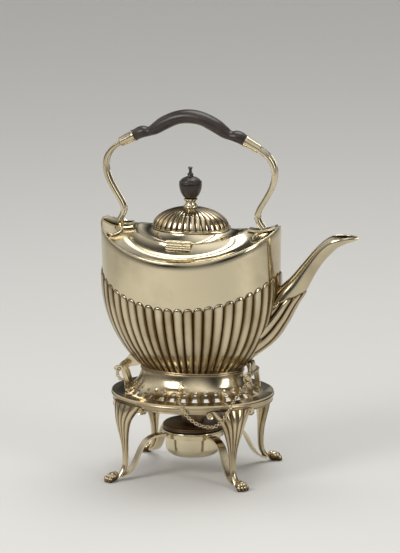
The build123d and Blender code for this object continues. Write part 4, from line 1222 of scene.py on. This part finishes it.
@dataclass
class BurnerShape:
    """The round spirit burner, in millimetres."""

    lip_height: float = 39.5
    bowl_radius: float = 25.3
    bowl_floor: float = 17.0
    beads: int = 2
    bead_pitch: float = 1.75
    collar_height: float = 3.6

    def add_turned(self, name: str, finish: Finish, node: str, profile: Stations) -> None:
        """Turns one piece of the burner from its profile of radius and height."""
        Piece(name, Body.BURNER, finish, [node]).finish_mesh(turned(profile))

    def build(self) -> None:
        """Turns the bowl, its cover, the beaded collar, the wick plate, the tube and the wick."""
        z, r, floor = self.lip_height, self.bowl_radius, self.bowl_floor
        bowl = [(0, floor)] + arc((r - 8, floor), (r - 2.34, floor + 2.34), (r, floor + 8), 8)
        bowl += [(r, z), (27.9, z), (28.2, z + 0.4), (28.2, z + 1.2), (27.9, z + 1.6), (r - 1, z + 1.6)]
        bowl += arc((r - 1, floor + 8), (r - 3.05, floor + 3.05), (r - 8, floor + 1), 6) + [(0, floor + 1)]
        self.add_turned("spirit_bowl", SILVER, "burner_bowl", bowl)
        top = z + 1.6
        cover = [(14.5, top), (27.6, top), (28.2, top + 0.4), (28.0, top + 1.2), (14.5, top + 1.2)]
        cover += [(14.5, top)]
        self.add_turned("bowl_lip", IRON, "burner_cover", cover)
        low = top + 1.2
        collar = [(26.2, low), (26.8, low)]
        for bead in range(self.beads):
            start = low + self.bead_pitch * bead
            collar += arc((26.7, start + 0.1), (27.9, start + 0.9), (26.7, start + 1.7), 6)
        plate = low + self.collar_height
        collar += [(26.2, plate), (26.2, low)]
        self.add_turned("ribbed_collar", COPPER, "burner_collar", collar)
        disc = [(9.5, plate), (26.7, plate), (27.0, plate + 0.4), (26.4, plate + 1.0), (22.0, plate + 1.2)]
        disc += [(21.6, plate + 0.8), (14.0, plate + 0.9), (13.4, plate + 1.4), (9.5, plate + 1.4)]
        disc += [(9.5, plate)]
        self.add_turned("wick_disc", COPPER, "wick_plate", disc)
        end = plate + 1.4
        pipe = [(9.5, end), (10.5, end), (10.5, end + 7.6), (10.1, end + 8.0), (10.5, end + 8.4),
                (10.3, end + 9.0), (9.5, end + 9.0), (9.5, end)]
        self.add_turned("wick_pipe", COPPER, "wick_tube", pipe)
        wick = [(0, plate), (9.3, plate), (9.3, end + 9.6), (8.6, end + 10.1), (0, end + 10.2)]
        self.add_turned("cotton_wick", COTTON, "wick", wick)


@dataclass
class PlainPieces:
    """CAD pieces whose shape is right, in groups with one finish and one body each."""

    groups: Sequence[tuple[Finish, Body, Sequence[str]]] = (
        (SILVER, Body.LID, ("lid_bezel", "finial_nut", "hinge_moving")),
        (SILVER, Body.KETTLE, ("hinge_fixed", "hinge_pin", "bracket_left", "bracket_right",
                               "ferrule_left", "ferrule_right", "rivets")),
        (WARM_SILVER, Body.KETTLE, ("lock_tongue",)),
        (WARM_SILVER, Body.STAND, ("stand_top", "burner_ring", "pivot_ears", "lock_ears", "chain_anchors")),
        (WARM_SILVER, Body.LOCK_PIN, ("lock_pin",)),
        (WARM_SILVER, Body.PIVOT_PIN, ("pivot_pin",)),
        (WARM_SILVER, Body.STAND, ("brace_back_left", "brace_back_right",
                                   "brace_front_left", "brace_front_right")))

    def build(self) -> None:
        """Builds a smooth piece for each CAD node."""
        for finish, body, nodes in self.groups:
            for node in nodes:
                piece = Piece(f"dressed_{node}", body, finish, [node], 32)
                piece.finish_mesh(smooth_copy(node), in_millimetres=False)


@dataclass
class Chains:
    """The two fine round-link chains, each hanging between the stand and a pin, in millimetres.

    Attributes:
        ring: A link's radius, to the middle of its wire.
        wire: The wire's radius.
        pitch: The distance from link to link.
        lock_path: The points that the lock pin's chain hangs through, from the pin to its eyelet.
        pivot_path: The points that the pivot pin's chain hangs through, from its eyelet to the pin.
        free_from: The point of the pivot pin's chain where it starts to follow the pin; not used.
    """

    ring: float = 1.4
    wire: float = 0.38
    pitch: float = 1.95
    lock_path: Stations = (
        (-66.0, -17.9, 96.2), (-66.4, -18.6, 92.0), (-64.5, -17.2, 87.6), (-60.6, -13.6, 85.4))
    pivot_path: Stations = (
        (0.0, -40.6, 92.0), (1.0, -45.0, 86.2), (3.5, -54.0, 80.8), (6.5, -62.6, 80.4), (9.5, -65.4, 76.4),
        (14.0, -65.2, 69.0), (24.0, -64.0, 61.5), (36.0, -61.0, 59.0), (44.0, -59.4, 63.0),
        (50.0, -56.4, 72.0), (52.6, -50.0, 79.6), (53.2, -41.0, 81.6), (54.6, -31.0, 85.0),
        (56.4, -20.5, 90.6))
    free_from: int = 5

    def link_mesh(self) -> bpy.types.Mesh:
        """One round link, lying flat."""
        rings = [[Vector((math.cos(turn), math.sin(turn), 0)) * (self.ring + self.wire * math.cos(a))
                  + UP * (self.wire * math.sin(a)) for a in turns(8)] for turn in turns(14)]
        return mesh_from("link", skin(rings, closed=True))

    def places(self, path: Stations) -> list[Matrix]:
        """A place for each link along a smooth path, each turned a quarter against the last.

        Args:
            path: The points that the chain hangs through.

        Returns:
            The links' placements.
        """
        line = [Vector(point) for point in smooth_line(path, 40)]
        count = round(sum((b - a).length for a, b in zip(line, line[1:])) / self.pitch)
        found = []
        for index, place in enumerate(places_along(line, [link / count for link in range(count + 1)])):
            step = min(int(place), len(line) - 2)
            along = (line[step + 1] - line[step]).normalized()
            side = along.cross(UP).normalized()
            normal = side if index % 2 else along.cross(side)
            axes = Matrix((along, normal.cross(along), normal)).transposed().to_4x4()
            found.append(Matrix.Translation(line[step] + Vector((AXIS_X, 0, 0))) @ axes)
        return found

    def build_chain(self, node: str, path: Stations) -> None:
        """Builds a chain along its path.

        Args:
            node: The CAD node that it stands for.
            path: The points that it hangs through.
        """
        link = self.link_mesh()
        bm = bmesh.new()
        for place in self.places(path):
            placed = link.copy()
            placed.transform(Matrix.Scale(MM, 4) @ place)
            bm.from_mesh(placed)
            bpy.data.meshes.remove(placed)
        bpy.data.meshes.remove(link)
        piece = Piece(f"dressed_{node}", Body.STAND, WARM_SILVER, [node], 180)
        made = piece.dress(bm)
        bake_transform(made)
        piece.claim()

    def build(self) -> None:
        """Builds both chains."""
        path = self.lock_path
        self.build_chain("lock_chain", path)
        path = self.pivot_path
        self.build_chain("pivot_chain", path)


@dataclass
class Studio:
    """The floor, the soft lights, the surroundings and the camera."""

    azimuth: float = 16.8
    elevation: float = 13.4
    roll: float = 0.6
    distance: float = 6.2
    axis_pixel: Point = (193.6, 470.6)
    floor_colour: str = "D6D4CF"
    floor_size: float = 6.0
    floor_drop: float = 0.0002
    aim_height: float = 0.16

    def add_floor(self) -> None:
        """Builds the plain pale floor."""
        bm = bmesh.new()
        bmesh.ops.create_grid(bm, x_segments=1, y_segments=1, size=self.floor_size)
        floor = add_object("floor", mesh_from("floor", bm))
        floor.location = (0, 0, -self.floor_drop)
        material = bpy.data.materials.new("plain matt floor")
        material.use_nodes = True
        shader = material.node_tree.nodes["Principled BSDF"]
        shader.inputs["Base Color"].default_value = linear(self.floor_colour)
        shader.inputs["Roughness"].default_value = 0.6
        floor.data.materials.append(material)

    def add_light(self, name: str, place: Sequence[float], size: Point, power: float) -> None:
        """Adds a soft box that faces the kettle.

        Args:
            name: The light's name.
            place: Where it stands, in metres.
            size: Its width and height in metres.
            power: Its power in watts.
        """
        data = bpy.data.lights.new(name, "AREA")
        data.shape = "RECTANGLE"
        data.size, data.size_y = size
        data.energy = power
        light = add_object(name, data)
        light.location = place
        aim = UP * self.aim_height - Vector(place)
        light.rotation_euler = aim.to_track_quat("-Z", "Y").to_euler()

    def add_world(self) -> None:
        """Sets surroundings that are bright above and grey at the sides, so that metal shows its form."""
        world = bpy.data.worlds.new("studio")
        bpy.context.scene.world = world
        world.use_nodes = True
        tree = world.node_tree
        tree.nodes.clear()
        look = add_node(tree, "ShaderNodeTexCoord").outputs["Generated"]
        axes = add_node(tree, "ShaderNodeSeparateXYZ", inputs={"Vector": look})
        above = add_node(tree, "ShaderNodeMapRange", inputs={
            "Value": axes.outputs["Z"], "From Min": 0.0, "From Max": 0.75, "To Min": 0.12, "To Max": 0.8})
        band = add_node(tree, "ShaderNodeMath", {"operation": "MULTIPLY_ADD"}, {
            0: axes.outputs["X"], 1: 6.4, 2: 0.9})
        wave = add_node(tree, "ShaderNodeMath", {"operation": "SINE"}, {0: band.outputs[0]})
        light = add_node(tree, "ShaderNodeMapRange", inputs={
            "Value": wave.outputs[0], "From Min": -1.0, "From Max": 1.0, "To Min": 0.1, "To Max": 1.5})
        level = add_node(tree, "ShaderNodeMath", {"operation": "MULTIPLY"}, {
            0: above.outputs["Result"], 1: light.outputs["Result"]})
        glow = add_node(tree, "ShaderNodeBackground", inputs={
            "Color": linear("FFFFFF"), "Strength": level.outputs[0]})
        add_node(tree, "ShaderNodeOutputWorld", inputs={"Surface": glow.outputs[0]})

    def add_camera(self) -> None:
        """Sets the camera at the photograph's angle, with its long lens and slight roll."""
        turn, rise, roll = (math.radians(v) for v in (self.azimuth, self.elevation, self.roll))
        right = Vector((math.cos(turn), math.sin(turn), 0))
        back = Vector((math.sin(turn) * math.cos(rise), -math.cos(turn) * math.cos(rise), math.sin(rise)))
        up = back.cross(right)
        across = right * math.cos(roll) - up * math.sin(roll)
        upward = right * math.sin(roll) + up * math.cos(roll)
        step = PHOTO_MM_PER_PIXEL * MM
        aim = Vector((AXIS_X * MM, 0, 0)) + across * ((IMAGE_SIZE[0] / 2 - self.axis_pixel[0]) * step)
        aim += upward * ((self.axis_pixel[1] - IMAGE_SIZE[1] / 2) * step)
        data = bpy.data.cameras.new("camera")
        data.sensor_width = 36
        data.lens = data.sensor_width * self.distance / (IMAGE_SIZE[1] * step)
        data.clip_end = 50
        camera = add_object("camera", data)
        axes = Matrix((across, upward, back)).transposed().to_4x4()
        camera.matrix_world = Matrix.Translation(aim + back * self.distance) @ axes
        bpy.context.scene.camera = camera

    def build(self) -> None:
        """Builds the whole studio."""
        self.add_floor()
        self.add_light("key", (-0.9, -1.3, 1.2), (0.7, 0.9), 16)
        self.add_light("fill", (1.5, -0.7, 0.9), (0.5, 1.2), 8)
        self.add_light("top", (0.0, 0.5, 1.7), (1.2, 0.8), 12)
        self.add_world()
        self.add_camera()
        bpy.context.scene.view_settings.view_transform = "Standard"


def main() -> None:
    """Builds the object from its parts, then the studio."""
    logging.basicConfig(level=logging.INFO, format="%(message)s")
    kettle = KettleShape()
    kettle.build()
    handle = HandleShape(surface=LidShape(kettle).build())
    for part in (FinialShape(), SpoutShape(), handle, StandShape(), LugShape(), BurnerShape(),
                 PlainPieces(), Chains(), Studio()):
        part.build()


if __name__ == "__main__":
    main()
